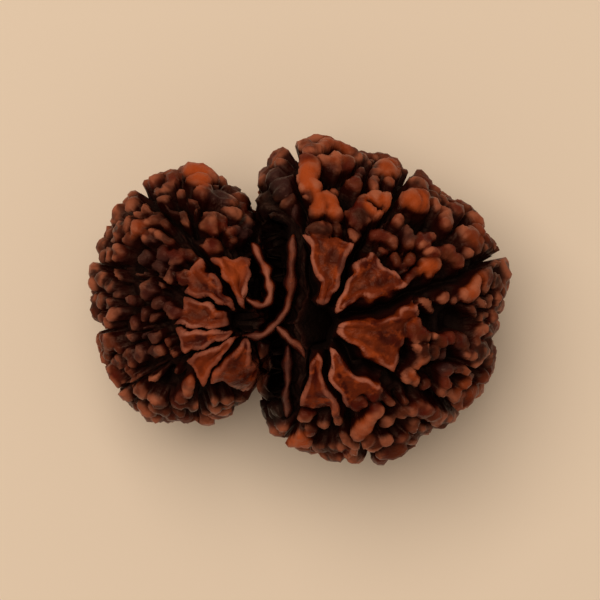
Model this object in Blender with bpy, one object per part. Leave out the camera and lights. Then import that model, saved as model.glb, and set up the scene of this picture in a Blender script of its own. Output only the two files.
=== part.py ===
"""Garbh gauri rudraksha: two seed stones that grew together side by side.

The large bead is on the +X side and the small one on the -X side. Each is a squat spheroid
with an upright axis, given as a grid of two parameters: the turn round the axis and the way
down from the upper pole to the lower one. The relief is raised from that surface by a formula:
smooth plates round each pole, rounded knobs and winding ridges outside them, deep clefts that
run from pole to pole, and a blind pit at each pole. Where the beads meet, a crevice is cut
straight down and thin folds of rind stand up from it. All is joined in one solid, which rests
on the low plates of its underside.

Lengths are in millimetres and angles in degrees, counted from +X, until the mesh is made.
"""
import math

import bpy
import numpy as np
from mathutils import Matrix, Vector

MM = 0.001
TURN = 2 * math.pi
STONE_COLOUR = (0.16, 0.042, 0.016, 1)
STONE_ROUGHNESS = 0.42

# How finely curves are measured and surfaces sampled
GRID_STEP = 0.25       # distance between the grid's points
RIM_POINTS = 721       # points in which the rim and the side are measured
SIDE_POINTS = 2001
LEAST_REACH = 5.0      # a nearer rim gets as many of the grid's points as one this far away
NEAR_POLE = 1e-4       # how near to the poles the grid starts and ends, as an angle
SKIN_STEP = 0.17       # distance between the joined solid's points, before it is thinned
SMOOTHING = 2          # times that the joined solid is smoothed before that
TRIANGLES = 11600      # what the finished solid is thinned to

# The whole piece
SIDE_POWER = 2.25      # 2 is an ellipse, more is squarer
RELIEF = 0.9           # how far the knobs at the rim stand out of the bare spheroid
SEEN_RISE = 0.6        # how far above the bare bead a place on it is seen
SWELL = 0.3            # share of a rise that goes along the normals of the raised surface
REST_CUT = 0.35        # how much the resting spots are flattened
BLOCK = 100.0          # size of the block that flattens them

# Swells that bend lines and roughen surfaces: length of the waves, and how high they are
WAVE_SPREAD = (0.7, 1.4)       # the least and the most of it in one swell
WIDE_SWELL = (3.1, 0.17)
FINE_SWELL = (1.3, 0.05)
PLATE_SWELL = (2.0, 0.04)
GNARL = (0.9, 0.04)
GNARL_OF_PLATES = 0.2  # share of it that plates have

# The plates, clefts and pits
PLATE_RISE = 0.50
LIP_RISE = 0.30
LIP_PLACE = 0.05       # distance of a plate's lip from the edge of the cleft
LIP_WIDTH = 0.30
PLATE_BEND = 2.2       # power of the bend from a plate's middle length to those at its sides
PLATE_EDGE = (-0.25, 0.2)            # where its end starts and is up, from its length inwards
UNDER_STRETCH = (1.15, 0.8)          # plates of the underside end this much nearer to the pole
CLEFT_NARROWING = (1.0, 0.72, 0.44)      # of its width near the pole, at the rim and on the side
CLEFT_DEPTH = (1.9, 1.3, 0.9)
CLEFT_STOPS = (0.25, 0.9, 1.0)       # shares of the way to the rim that those values are for
CLEFT_FLOOR = 0.05                   # half width of the level bottom
CLEFT_BLEND = 0.25                   # how widely the upper edge is rounded
LEAST_HALF = 0.32                    # narrower clefts would close when the solid is thinned
PIT_DEPTH = 4.2
PIT_EDGE = (1.15, 0.80)      # where a pit's wall starts and ends, as a share of its half widths
PIT_RIM = (0.8, 1.5)         # between these shares of them, the relief fades in
FLOOR = -0.78          # the ground between knobs, against the bare spheroid
FLOOR_END = 0.45       # rise from which it is not felt any more
HOLLOW_DEPTH = 1.1
HOLLOW_WIDTH = 0.95    # how wide a hollow is, as a share of its radius
HOLLOW_POWER = 2.5     # how steep its side is

# Knobs and ridges
DOME_FOOT = 1.15       # radius of a dome's foot, as a share of its radius
DOME_POWERS = (2.4, 0.6)       # of the profile: A and B of mound_sum
MERGE_POWER = 5        # the more, the sharper the crease between neighbours

# Knobs that are scattered where none is placed by hand
SCATTER_RADIUS = (0.50, 1.05)
SCATTER_RISE = (0.75, 1.15)
SCATTER_WIDTH = 0.92   # their own width, as a share of the room that they take
SCATTER_STRETCH = 0.55         # how far they are drawn out at most, as a share of the radius
SMALL_KNOB = (0.35, 0.75)      # share of the rise that any knob has, and what each mm of radius adds
SCATTER_LIMIT = 450
SCATTER_TRIES = 12000
SCATTER_ROOM = 0.86    # least distance between two, as a share of both radii
PLACED_ROOM = (0.95, 0.75)     # the same from a placed one: shares of its radius and of their own
CLEFT_ROOM = (0.8, 0.1)        # the same from a cleft: share of the radius, and mm more
PLATE_ROOM = 0.45      # how far their middle stays away from plates and clefts
HOLLOW_ROOM = 0.8      # share of a hollow's radius that is kept free
JOINT_ROOM = 0.9       # how far they stay away from the crevice and the folds

# The crevice's walls
CREVICE_WALL = (1.1, 0.7)      # where a wall starts and ends, as a share of the half width
CREVICE_TOP = (3.0, 6.0)       # heights over a bead's middle from which it is cut, and cut fully
CREVICE_SWAY = 0.6     # share of the bend that it follows

# Folds of the joint
FOLD_DEPTH = 3.4       # how far they reach down into the beads
FOLD_AROUND = 20       # points round a fold
FOLD_STEP = 0.16       # distance between its points along the crest
FOLD_SEED = 100        # of the first fold's waves; each next one's is ten more
FOLD_SMOOTHING = 9     # times that the crest's corners are rounded
FOLD_END = 3           # length of the rounded ends, in half widths
FOLD_DIP = 0.5         # how far the ends dip
FOLD_SWAY = (1.6, 0.045)       # waves of the crest: length, height
FOLD_WAIST = (1.1, 0.18)       # waves of its width: length, share

# The crevice where the beads meet, cut down into both of them: half width, depth, x and y of points
CREVICE = (
    (0.50, 4.5, ((-1.50, 4.0), (-1.45, 2.4), (-1.45, 0.5))),
    (0.78, 4.0, ((-2.00, 5.2), (-1.85, 4.2), (-1.60, 3.0))),
    (0.48, 4.5, ((-1.55, -2.9), (-1.55, -4.6), (-1.65, -5.8))),
    (0.36, 3.0, ((-3.10, 0.55), (-3.02, 1.8), (-3.15, 3.0))),
)

# Where the rinds meet they stand up as thin folds: half width, then x, y, z along the crest
FOLDS = (
    (0.42, ((-0.58, 4.9, 16.6), (-0.66, 3.4, 17.3), (-0.74, 1.6, 17.4), (-0.74, 0.4, 17.2),
            (-1.10, -0.5, 16.9), (-1.45, -1.1, 16.6), (-1.95, -1.6, 16.3), (-2.5, -2.1, 16.2),
            (-3.3, -2.25, 16.2), (-4.3, -2.3, 15.9))),
    (0.40, ((-1.80, -1.35, 16.3), (-1.30, -1.9, 16.6), (-0.70, -2.5, 16.9), (0.0, -3.0, 17.1),
            (0.28, -3.8, 17.0))),
    (0.36, ((-0.92, -2.8, 16.7), (-0.92, -4.5, 16.8), (-0.95, -6.2, 16.2), (-1.05, -8.0, 15.0))),
    (0.40, ((-3.55, 4.3, 15.3), (-3.10, 3.6, 15.9), (-2.70, 2.8, 16.3), (-2.35, 2.1, 16.4),
            (-2.20, 1.2, 16.5), (-2.20, 0.4, 16.4), (-2.55, -0.10, 16.3), (-3.15, -0.22, 16.4),
            (-3.70, 0.05, 16.5), (-3.95, 0.50, 16.4))),
)

LARGE = {
    "seed": 3,
    "pole": (1.0, -1.3),
    "middle": 9.1,
    "half_height": 8.8,
    # distance from the axis to the knobs' tips, every 15 degrees
    "reach": (13.1, 14.3, 14.1, 13.3, 13.1, 12.7, 13.4, 12.1, 7.4, 5.3, 4.6, 4.5,
              4.9, 4.7, 4.7, 5.5, 7.2, 9.1, 9.6, 10.3, 11.5, 11.3, 12.5, 13.3),
    # each cleft's azimuth at the pole and at the rim, and its half width near the pole
    "clefts": ((-50, -31, 0.62), (11, 21, 0.80), (62, 57, 0.48), (101, 97, 0.45), (253, 258, 0.45),
               (279, 290, 0.42)),
    # length of the plate after each cleft: at that cleft, in its middle, at the next cleft
    "plates": ((6.8, 5.9, 7.8), (7.0, 6.1, 6.3), (6.4, 5.6, 6.6), (0, 0, 0), (5.8, 5.7, 6.4),
               (6.9, 5.3, 6.8)),
    "pit": (0.8, -1.45, 1.70, 1.68),
    # x, y, radius, rise
    "knobs": (
        (2.6, 8.0, 0.5, 0.8), (4.2, 9.3, 0.5, 0.8), (6.3, 9.5, 1.0, 1.1), (4.5, 10.2, 0.5, 0.6),
        (8.7, 9.0, 0.85, 1.0), (8.0, 7.4, 1.05, 1.05), (6.8, 5.9, 0.6, 0.9), (7.4, 4.8, 0.7, 0.8),
        (5.6, 3.9, 0.3, 0.6), (6.9, 3.9, 0.35, 0.6), (9.7, 7.8, 0.5, 0.7), (12.6, 5.9, 0.8, 1.0),
        (12.2, 4.6, 0.85, 1.0), (8.9, 2.3, 0.75, 1.0), (11.0, 2.9, 0.5, 0.8), (13.8, 3.5, 0.9, 1.0),
        (11.9, 1.4, 1.1, 1.1), (10.0, 0.7, 0.5, 0.8), (11.0, 0.2, 0.45, 0.7), (12.7, 0.1, 0.5, 0.8),
        (14.2, 1.6, 0.6, 0.8), (7.8, -5.2, 0.6, 0.9), (8.6, -6.0, 0.4, 0.6), (12.6, -6.4, 0.9, 1.0),
        (13.6, -4.4, 0.8, 0.8), (6.1, -6.7, 0.4, 0.7), (5.9, -9.8, 0.6, 0.8), (5.1, -10.3, 0.6, 0.9),
        (6.5, -10.6, 0.9, 1.0), (7.2, -9.6, 0.6, 0.9), (0.4, -7.8, 0.6, 1.0), (1.7, -8.6, 0.4, 0.8),
        (-0.2, -9.6, 1.0, 1.1), (1.3, -10.3, 0.6, 0.8), (-0.4, 6.3, 0.45, 0.8),
        (-1.5, 8.4, 1.0, 1.0), (-2.4, 8.8, 0.6, 0.8), (-1.7, 9.9, 0.6, 0.8), (-1.0, 7.1, 0.6, 0.7),
        (-2.0, -7.4, 0.6, 0.8), (-1.7, -8.5, 0.6, 0.8), (-1.8, -6.2, 0.5, 0.6), (-0.3, 11.0, 0.55, 0.8),
        (-2.7, 6.5, 0.55, 0.8), (-2.8, 5.6, 0.5, 0.8),
    ),
    # half width, rise, points
    "ridges": (
        (0.62, 1.15, ((0.1, 11.2), (0.3, 9.8), (0.7, 8.4))),
        (0.60, 1.00, ((0.8, 11.0), (2.0, 11.5), (3.2, 11.1), (3.9, 10.4))),
        (0.50, 1.00, ((1.3, 10.0), (2.4, 9.8), (3.3, 10.2))),
        (0.62, 1.00, ((0.6, 7.3), (1.8, 7.1), (2.8, 6.2))),
        (0.48, 1.00, ((4.0, 6.2), (4.5, 7.2), (5.4, 8.0), (6.0, 7.5), (5.6, 6.4), (4.6, 5.8), (4.0, 6.2))),
        (0.35, 0.80, ((5.4, 8.3), (5.3, 8.9))),
        (0.40, 0.60, ((6.2, 3.6), (7.3, 2.4))),
        (0.55, 0.95, ((9.2, 3.5), (10.8, 3.3))),
        (0.60, 0.90, ((10.3, 6.8), (10.5, 5.4))),
        (0.50, 0.90, ((14.0, 0.6), (13.9, -1.2), (13.3, -2.2))),
        (0.45, 0.90, ((13.2, -1.5), (12.4, -2.4), (11.9, -3.2))),
        (0.45, 0.90, ((9.0, -2.2), (10.4, -2.6))),
        (0.42, 0.95, ((8.3, -2.9), (8.3, -4.5))),
        (0.40, 0.95, ((10.2, -4.9), (10.9, -4.4), (11.9, -4.7), (12.0, -5.6), (11.0, -6.0), (10.2, -5.5),
                      (10.2, -4.9))),
        (0.50, 0.90, ((10.0, -6.4), (11.3, -6.9))),
        (0.60, 1.00, ((7.9, -7.6), (9.5, -7.8), (11.2, -8.2))),
        (0.50, 1.00, ((5.2, -7.4), (4.2, -8.9))),
        (0.50, 0.80, ((8.1, -9.6), (9.3, -8.8))),
        (0.45, 0.90, ((2.0, -6.9), (2.6, -8.2))),
        (0.55, 1.00, ((3.1, -9.4), (3.6, -10.6), (3.9, -11.2))),
    ),
    # x, y, radius
    "hollows": (
        (1.9, 10.6, 0.5), (2.5, 9.0, 0.8), (3.2, 7.1, 0.7), (4.8, 7.0, 0.4), (5.0, 9.2, 0.35),
        (9.2, 5.6, 0.9), (11.6, 5.6, 0.4), (9.6, -1.1, 0.9), (11.4, -1.3, 0.8), (7.4, -3.6, 0.55),
        (9.3, -4.5, 0.6), (10.9, -5.1, 0.4), (10.9, -3.8, 0.5), (13.0, -4.5, 0.5), (6.3, -7.6, 0.6),
        (5.4, -9.0, 0.4), (7.0, -8.6, 0.5), (1.8, -9.5, 0.6),
    ),
}

SMALL = {
    "seed": 8,
    "pole": (-3.5, -1.3),
    "middle": 8.3,
    "half_height": 8.0,
    "reach": (2.9, 3.0, 3.2, 3.8, 4.9, 7.5, 8.1, 10.8, 12.7, 13.0, 12.6, 12.1,
              11.7, 11.3, 11.1, 9.9, 8.1, 6.5, 4.4, 4.1, 3.9, 3.4, 3.1, 2.9),
    "clefts": ((86, 86, 0.38), (122, 130, 0.38), (153, 159, 0.26), (187, 183, 0.18), (211, 205, 0.20),
               (228, 240, 0.22), (284, 276, 0.32)),
    "plates": ((4.5, 5.0, 5.5), (6.1, 5.3, 5.1), (4.9, 5.1, 5.6), (5.5, 5.2, 5.2), (5.4, 4.9, 6.3),
               (4.9, 5.0, 5.0), (0, 0, 0)),
    "pit": (-3.45, -1.2, 1.65, 0.98),
    "knobs": (
        (-7.4, 9.4, 1.3, 1.4), (-5.6, 8.4, 0.5, 0.8), (-9.0, 9.0, 0.55, 0.9), (-10.4, 8.8, 0.6, 1.0),
        (-10.2, 8.1, 0.4, 0.7), (-8.5, 8.0, 0.35, 0.8), (-13.2, 6.5, 0.7, 1.0), (-12.2, 7.1, 0.5, 0.9),
        (-11.5, 5.3, 0.75, 1.0), (-13.3, 5.0, 0.7, 0.8), (-9.9, 5.6, 0.4, 0.6), (-6.0, 5.5, 0.75, 1.1),
        (-4.9, 6.6, 0.6, 0.9), (-3.2, 6.6, 0.5, 0.7), (-3.8, 5.0, 0.45, 0.8), (-7.1, 4.0, 0.45, 0.8),
        (-13.2, 3.5, 0.8, 0.8), (-14.3, 2.0, 0.6, 0.9), (-13.0, 2.4, 0.4, 0.8), (-11.1, 3.4, 0.5, 0.6),
        (-14.3, 0.2, 0.6, 0.8), (-14.4, -1.2, 0.5, 0.7), (-14.3, -2.4, 0.5, 0.7), (-12.2, -2.3, 0.5, 0.75),
        (-13.0, -3.2, 0.5, 0.75), (-10.3, -2.2, 0.45, 0.7), (-10.3, -3.5, 0.55, 0.85),
        (-14.0, -3.4, 0.55, 0.8), (-13.4, -4.8, 0.75, 1.0), (-13.0, -6.1, 0.75, 1.0),
        (-12.4, -7.0, 0.4, 0.7), (-11.4, -7.5, 0.8, 1.0), (-10.1, -7.1, 0.55, 0.9),
        (-9.8, -8.0, 0.6, 0.9), (-8.7, -7.2, 0.5, 0.7), (-6.9, -8.8, 0.65, 1.4), (-7.6, -7.4, 0.5, 0.9),
        (-6.2, -7.4, 0.7, 1.0), (-8.7, -4.9, 0.4, 0.7),
        (-9.9, 0.2, 0.5, 0.7), (-10.9, 0.9, 0.55, 0.7), (-11.0, -0.6, 0.55, 0.7), (-12.2, 0.3, 0.55, 0.75),
        (-12.1, -1.4, 0.5, 0.7), (-10.1, -1.1, 0.45, 0.65), (-13.2, -0.6, 0.5, 0.8), (-13.2, 1.2, 0.5, 0.8),
        (-9.9, 1.5, 0.45, 0.65), (-11.0, -1.8, 0.50, 0.7), (-11.3, -3.4, 0.55, 0.8),
        (-3.0, 5.6, 0.5, 0.8), (-2.9, 4.7, 0.5, 0.8), (-3.5, 6.2, 0.45, 0.8),
    ),
    "ridges": (
        (0.40, 0.90, ((-8.1, 7.5), (-7.2, 7.1), (-7.2, 6.5))),
        (0.42, 0.95, ((-10.8, 6.9), (-9.8, 6.7), (-9.0, 6.2), (-8.3, 5.4))),
        (0.35, 0.80, ((-12.4, 6.6), (-11.2, 6.5))),
        (0.30, 0.80, ((-10.3, 4.7), (-9.2, 4.4))),
        (0.30, 0.80, ((-11.8, 2.4), (-10.6, 1.7))),
        (0.35, 0.80, ((-8.9, 3.5), (-9.0, 2.6), (-9.4, 1.4))),
        (0.38, 0.90, ((-12.7, -5.6), (-11.8, -5.1), (-10.9, -5.4), (-10.2, -4.9))),
        (0.38, 0.90, ((-8.1, -5.4), (-8.5, -6.8))),
        (0.30, 0.80, ((-5.0, 4.4), (-4.5, 4.8))),
        (0.25, 0.70, ((-9.4, -2.9), (-9.0, -3.8))),
    ),
    "hollows": (
        (-8.4, 6.7, 0.4), (-7.3, 5.5, 0.5), (-6.2, 7.2, 0.6), (-9.0, 7.4, 0.5), (-11.8, 4.0, 0.6),
        (-12.3, 2.9, 0.5), (-10.6, -6.0, 0.6),
        (-9.5, -5.9, 0.6), (-5.5, -6.3, 0.7),
    ),
}


def ease(low, high, value):
    """Smooth step: 0 up to low, 1 from high on, level at both ends; high may be below low."""
    share = np.clip((value - low) / (high - low), 0, 1)
    return share * share * (3 - 2 * share)


def lesser(first, second, blend):
    """The smaller of two heights, with their crossing rounded over the blend's width."""
    share = np.clip(0.5 + 0.5 * (second - first) / blend, 0, 1)
    return second + (first - second) * share - blend * share * (1 - share)


def unit(vectors):
    """Vectors of length one."""
    length = np.linalg.norm(vectors, axis=-1, keepdims=True)
    return vectors / np.maximum(length, 1e-9)


def closed_curve(values, azimuth):
    """Catmull-Rom curve through values at equal steps of azimuth, closed on itself."""
    knots = np.asarray(values, float)
    count = len(knots)
    place = (azimuth % TURN) / TURN * count
    index = np.floor(place).astype(int)
    step = place - index
    before, here, after, beyond = (knots[(index + k) % count] for k in (-1, 0, 1, 2))
    bend = 3 * (here - after) + beyond - before
    slope = 2 * before - 5 * here + 4 * after - beyond + step * bend
    return here + 0.5 * step * (after - before + step * slope)


def ripple(points, size, seed, waves=14):
    """Even random swell of about unit height: plane waves of that size in random directions."""
    rng = np.random.default_rng(seed)
    ways = unit(rng.normal(size=(waves, 3))) * TURN / size
    ways *= rng.uniform(*WAVE_SPREAD, (waves, 1))
    return np.sin(points @ ways.T + rng.uniform(0, TURN, waves)).sum(-1) / math.sqrt(waves / 2)


def spheroid(bead, turn, down):
    """Bare bead: the outline in plan, times a superellipse from pole to pole."""
    reach = closed_curve(bead["reach"], turn) - RELIEF
    out = np.sin(down) ** (2 / SIDE_POWER) * reach
    rise = np.sign(np.cos(down)) * np.abs(np.cos(down)) ** (2 / SIDE_POWER)
    x = bead["pole"][0] + out * np.cos(turn)
    y = bead["pole"][1] + out * np.sin(turn)
    return np.stack([x, y, bead["middle"] + bead["half_height"] * rise], -1)


def grid_of(bead, step):
    """Grid of points on the bare bead, evenly spaced round its rim and down its side."""
    fine = np.linspace(0, TURN, RIM_POINTS)
    pace = np.maximum(closed_curve(bead["reach"], fine), LEAST_REACH)
    run = np.concatenate([[0], np.cumsum((pace[1:] + pace[:-1]) / 2)]) * (fine[1] - fine[0])
    around = round(run[-1] / step)
    turn = np.interp(np.arange(around) / around * run[-1], run, fine)
    fine = np.linspace(0, math.pi, SIDE_POINTS)
    wide = max(bead["reach"]) * np.sin(fine) ** (2 / SIDE_POWER)
    high = bead["half_height"] * np.sign(np.cos(fine)) * np.abs(np.cos(fine)) ** (2 / SIDE_POWER)
    run = np.concatenate([[0], np.cumsum(np.hypot(np.diff(wide), np.diff(high)))])
    rows = round(run[-1] / step)
    down = np.interp(np.linspace(0, 1, rows) * run[-1], run, fine)
    return spheroid(bead, *np.meshgrid(turn, np.clip(down, NEAR_POLE, math.pi - NEAR_POLE), indexing="ij"))


def outward(grid):
    """Outward normals of a grid that closes on itself along its first axis."""
    along = np.roll(grid, -1, 0) - np.roll(grid, 1, 0)
    return unit(np.cross(np.gradient(grid, axis=1), along))


def seen(grid):
    """Where points of the bare bead will be once plates and knobs have been raised on it."""
    return grid + outward(grid) * SEEN_RISE


def sectors(bead, points):
    """Distance from the pole, from the nearest cleft and which cleft that is, share of the way
    to the rim, the cleft before each point and how far it is from that one to the next."""
    plan = points[..., :2] - np.array(bead["pole"])
    out = np.linalg.norm(plan, axis=-1)
    azimuth = np.arctan2(plan[..., 1], plan[..., 0])
    share = np.clip(out / closed_curve(bead["reach"], azimuth), 0, 1)
    start, end = np.radians(np.array(bead["clefts"], float)[:, :2]).T
    line = start + (end - start) * share[..., None]
    past = (azimuth[..., None] - line) % TURN
    aside = np.minimum(past, TURN - past)
    gap = aside.min(-1) * out
    before = past.argmin(-1)
    left = (TURN - past).min(-1)
    way = past.min(-1) / np.maximum(past.min(-1) + left, 1e-6)
    return out, gap, aside.argmin(-1), share, before, way


def plate_ends(bead, before, way):
    """Length of a plate: its middle value, bent to its values beside both clefts."""
    near, middle, far = np.array(bead["plates"], float)[before].transpose(-1, *range(before.ndim))
    return middle + (near - middle) * (1 - way) ** PLATE_BEND + (far - middle) * way ** PLATE_BEND


def plate_run(bead, points, out):
    """Way from the pole as the plates count it, longer on the underside."""
    under = points[..., 2] < bead["middle"]
    return np.where(under, out * UNDER_STRETCH[0] + UNDER_STRETCH[1], out)


def seats(bead, grid, places):
    """Points on the upper half of the bare bead, whose knobs are seen at places in plan."""
    half = grid.shape[1] // 2
    upper = seen(grid)[:, :half].reshape(-1, 3)
    offsets = upper[None, :, :2] - np.asarray(places, float)[:, None]
    return grid[:, :half].reshape(-1, 3)[(offsets ** 2).sum(-1).argmin(1)]


def ridge_seats(bead, grid, places):
    """Points along a ridge, four to a stretch, set on the bare bead."""
    places = np.array(places)
    steps = np.linspace(0, 1, 5)[:-1, None]
    runs = [first + (last - first) * steps for first, last in zip(places[:-1], places[1:])]
    return seats(bead, grid, np.concatenate(runs + [places[-1:]]))


def scatter(bead, grid, taken, taken_radius, rng):
    """Centres and radii of knobs, dropped in random order wherever there is room for one."""
    points = grid.reshape(-1, 3)
    out, gap, _, _, before, way = sectors(bead, seen(grid).reshape(-1, 3))
    past_plate = plate_run(bead, points, out) > plate_ends(bead, before, way) + PLATE_ROOM
    free = np.flatnonzero(past_plate & (gap > PLATE_ROOM))
    centres = np.empty((0, 3))
    radii = np.empty(0)
    for index in rng.permutation(free)[:SCATTER_TRIES]:
        point = points[index]
        radius = rng.uniform(*SCATTER_RADIUS)
        if gap[index] < radius * CLEFT_ROOM[0] + CLEFT_ROOM[1]:
            continue
        room = taken_radius * PLACED_ROOM[0] + radius * PLACED_ROOM[1]
        if (np.linalg.norm(taken - point, axis=1) < room).any():
            continue
        if (np.linalg.norm(centres - point, axis=1) < (radii + radius) * SCATTER_ROOM).any():
            continue
        centres = np.vstack([centres, point])
        radii = np.append(radii, radius)
        if len(radii) == SCATTER_LIMIT:
            break
    return centres, radii


def line_distance(points, line):
    """Distance of each point from a line of straight stretches, or from its one point."""
    nearest = np.linalg.norm(points - line[0], axis=-1)
    for first, last in zip(line[:-1], line[1:]):
        way = last - first
        share = np.clip((points - first) @ way / max(way @ way, 1e-9), 0, 1)
        away = np.linalg.norm(points - first - share[..., None] * way, axis=-1)
        nearest = np.minimum(nearest, away)
    return nearest


def mounds(bead, grid):
    """All knobs and ridges as (line on the bare bead, half width, rise)."""
    placed = [(seats(bead, grid, [(x, y)]), radius, rise) for x, y, radius, rise in bead["knobs"]]
    placed += [(ridge_seats(bead, grid, line), half, rise) for half, rise, line in bead["ridges"]]
    empty = [(seats(bead, grid, [(x, y)]), radius * HOLLOW_ROOM) for x, y, radius in bead["hollows"]]
    lines = [line for _, _, line in CREVICE] + [[place[:2] for place in crest] for _, crest in FOLDS]
    empty += [(ridge_seats(bead, grid, line), JOINT_ROOM) for line in lines]
    taken = np.concatenate([line for line, *_ in placed] + [line for line, _ in empty])
    widths = [np.full(len(line), half) for line, half, _ in placed]
    widths += [np.full(len(line), radius) for line, radius in empty]
    rng = np.random.default_rng(bead["seed"])
    centres, radii = scatter(bead, grid, taken, np.concatenate(widths), rng)
    for centre, radius in zip(centres, radii):
        rise = rng.uniform(*SCATTER_RISE) * min(1.0, SMALL_KNOB[0] + SMALL_KNOB[1] * radius)
        stretch = unit(rng.normal(size=3)) * rng.uniform(0, SCATTER_STRETCH) * radius
        placed.append((np.array([centre - stretch, centre + stretch]), radius * SCATTER_WIDTH, rise))
    return placed


def mound_sum(points, placed):
    """Sum of powers of all domes: each its rise times (1 - share of the half width ^ A) ^ B."""
    total = np.zeros(points.shape[:-1])
    for line, half, rise in placed:
        room = half * DOME_FOOT
        inside = ((points > line.min(0) - room) & (points < line.max(0) + room)).all(-1)
        share = np.minimum(line_distance(points[inside], line) / room, 1)
        total[inside] += (rise * (1 - share ** DOME_POWERS[0]) ** DOME_POWERS[1]) ** MERGE_POWER
    return total


def bend(bead, grid):
    """Shifts of the points by two swells, a wide one and a fine one."""
    wide = np.stack([ripple(grid, WIDE_SWELL[0], bead["seed"] + 10 + k) for k in range(3)], -1)
    fine = np.stack([ripple(grid, FINE_SWELL[0], bead["seed"] + 20 + k) for k in range(3)], -1)
    return WIDE_SWELL[1] * wide + FINE_SWELL[1] * fine


def relief(bead, grid, shift):
    """Height over the bare bead: plates and mounds, less hollows, clefts and the pits."""
    points = grid + shift
    above = seen(grid) + shift
    out, gap, nearest, share, before, way = sectors(bead, above)
    plate = ease(*PLATE_EDGE, plate_ends(bead, before, way) - plate_run(bead, grid, out))
    half = np.maximum(np.array(bead["clefts"])[:, 2], LEAST_HALF)[nearest]
    half = half * np.interp(share, CLEFT_STOPS, CLEFT_NARROWING)
    depth = np.interp(share, CLEFT_STOPS, CLEFT_DEPTH)
    lip = np.exp(-((gap - half - LIP_PLACE) / LIP_WIDTH) ** 2)
    swell = PLATE_SWELL[1] * ripple(grid, PLATE_SWELL[0], bead["seed"] + 5)
    plates = plate * (PLATE_RISE + LIP_RISE * lip + swell)
    height = plates ** MERGE_POWER + mound_sum(points, mounds(bead, grid))
    height = height ** (1 / MERGE_POWER)
    height += FLOOR * (1 - ease(0.0, FLOOR_END, height))
    for x, y, radius in bead["hollows"]:
        away = line_distance(points, seats(bead, grid, [(x, y)]))
        height -= HOLLOW_DEPTH * np.exp(-(away / (radius * HOLLOW_WIDTH)) ** HOLLOW_POWER)
    wall = -depth + (depth + PLATE_RISE) * np.maximum(gap - CLEFT_FLOOR, 0) / half
    height = lesser(height, wall, CLEFT_BLEND)
    x, y, half_x, half_y = bead["pit"]
    rim = np.hypot((above[..., 0] - x) / half_x, (above[..., 1] - y) / half_y)
    height *= ease(*PIT_RIM, rim)
    height -= PIT_DEPTH * ease(*PIT_EDGE, rim)
    gnarl = GNARL[1] * ripple(grid, GNARL[0], bead["seed"] + 40)
    return height + (1 - (1 - GNARL_OF_PLATES) * plate) * gnarl


def crevice_depth(bead, surface, shift):
    """How far the crevice is cut straight down at each point, on the upper half alone."""
    depth = np.zeros(surface.shape[:-1])
    for half, sunk, line in CREVICE:
        away = line_distance(surface[..., :2] + CREVICE_SWAY * shift[..., :2], np.array(line))
        depth = np.maximum(depth, sunk * ease(half * CREVICE_WALL[0], half * CREVICE_WALL[1], away))
    return depth * ease(*CREVICE_TOP, surface[..., 2] - bead["middle"])


def bead_surface(bead, step):
    """Grid of the finished bead: raised along the normals, then swelled along the new ones."""
    grid = grid_of(bead, step)
    normals = outward(grid)
    shift = bend(bead, grid)
    height = relief(bead, grid, shift)
    surface = grid + normals * ((1 - SWELL) * height)[..., None]
    swell = outward(surface)
    for _ in range(2):
        swell = swell + np.roll(swell, 1, 0) + np.roll(swell, -1, 0)
        swell[:, 1:-1] = swell[:, 1:-1] + swell[:, 2:] + swell[:, :-2]
        swell = unit(swell)
    lifted = np.maximum(height, 0)
    surface += SWELL * (swell * lifted[..., None] + normals * (height - lifted)[..., None])
    surface[..., 2] -= crevice_depth(bead, surface, shift)
    return surface


def fold_surface(half, crest, seed):
    """Grid of a fold: an upright ellipse under each point of the crest, smaller towards both ends."""
    crest = np.array(crest)
    run = np.concatenate([[0], np.cumsum(np.linalg.norm(np.diff(crest, axis=0), axis=1))])
    along = np.linspace(0, run[-1], round(run[-1] / FOLD_STEP))
    line = np.stack([np.interp(along, run, crest[:, k]) for k in range(3)], -1)
    for _ in range(FOLD_SMOOTHING):
        line[1:-1] = (line[:-2] + line[1:-1] + line[2:]) / 3
    line += FOLD_SWAY[1] * np.stack([ripple(line, FOLD_SWAY[0], seed + k) for k in range(3)], -1)
    way = unit(np.gradient(line[:, :2], axis=0))
    left = np.clip(np.minimum(along, run[-1] - along) / (FOLD_END * half), 0, 1)
    taper = np.sqrt(1 - (1 - left) ** 2)
    angle = np.linspace(0, TURN, FOLD_AROUND, endpoint=False)[:, None]
    wide = half * (1 + FOLD_WAIST[1] * ripple(line, FOLD_WAIST[0], seed + 5)) * taper
    across = wide * np.cos(angle)
    down = (1 - np.sin(angle)) / 2 * FOLD_DEPTH * taper + FOLD_DIP * (1 - taper)
    x = line[:, 0] + way[:, 1] * across
    y = line[:, 1] - way[:, 0] * across
    return np.stack([x, y, line[:, 2] - down], -1)


def closed_object(name, surface, material):
    """Closed mesh of a grid: a ring of quads for each step along, and a fan at each end."""
    surface = surface * MM
    around, rows = surface.shape[:2]
    rows -= 2
    poles = [surface[:, 0].mean(0), surface[:, -1].mean(0)]
    points = np.concatenate([surface[:, 1:-1].reshape(-1, 3), poles])
    this = np.arange(around)[:, None] * rows
    after = (np.arange(around)[:, None] + 1) % around * rows
    down = np.arange(rows - 1)
    quads = np.stack([this + down, this + down + 1, after + down + 1, after + down], -1)
    top = np.hstack([this, after, np.full_like(this, around * rows)])
    bottom = np.hstack([after + rows - 1, this + rows - 1, np.full_like(this, around * rows + 1)])
    mesh = bpy.data.meshes.new(name)
    mesh.from_pydata(points.tolist(), [], quads.reshape(-1, 4).tolist() + top.tolist() + bottom.tolist())
    mesh.materials.append(material)
    thing = bpy.data.objects.new(name, mesh)
    bpy.context.scene.collection.objects.link(thing)
    return thing


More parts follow.
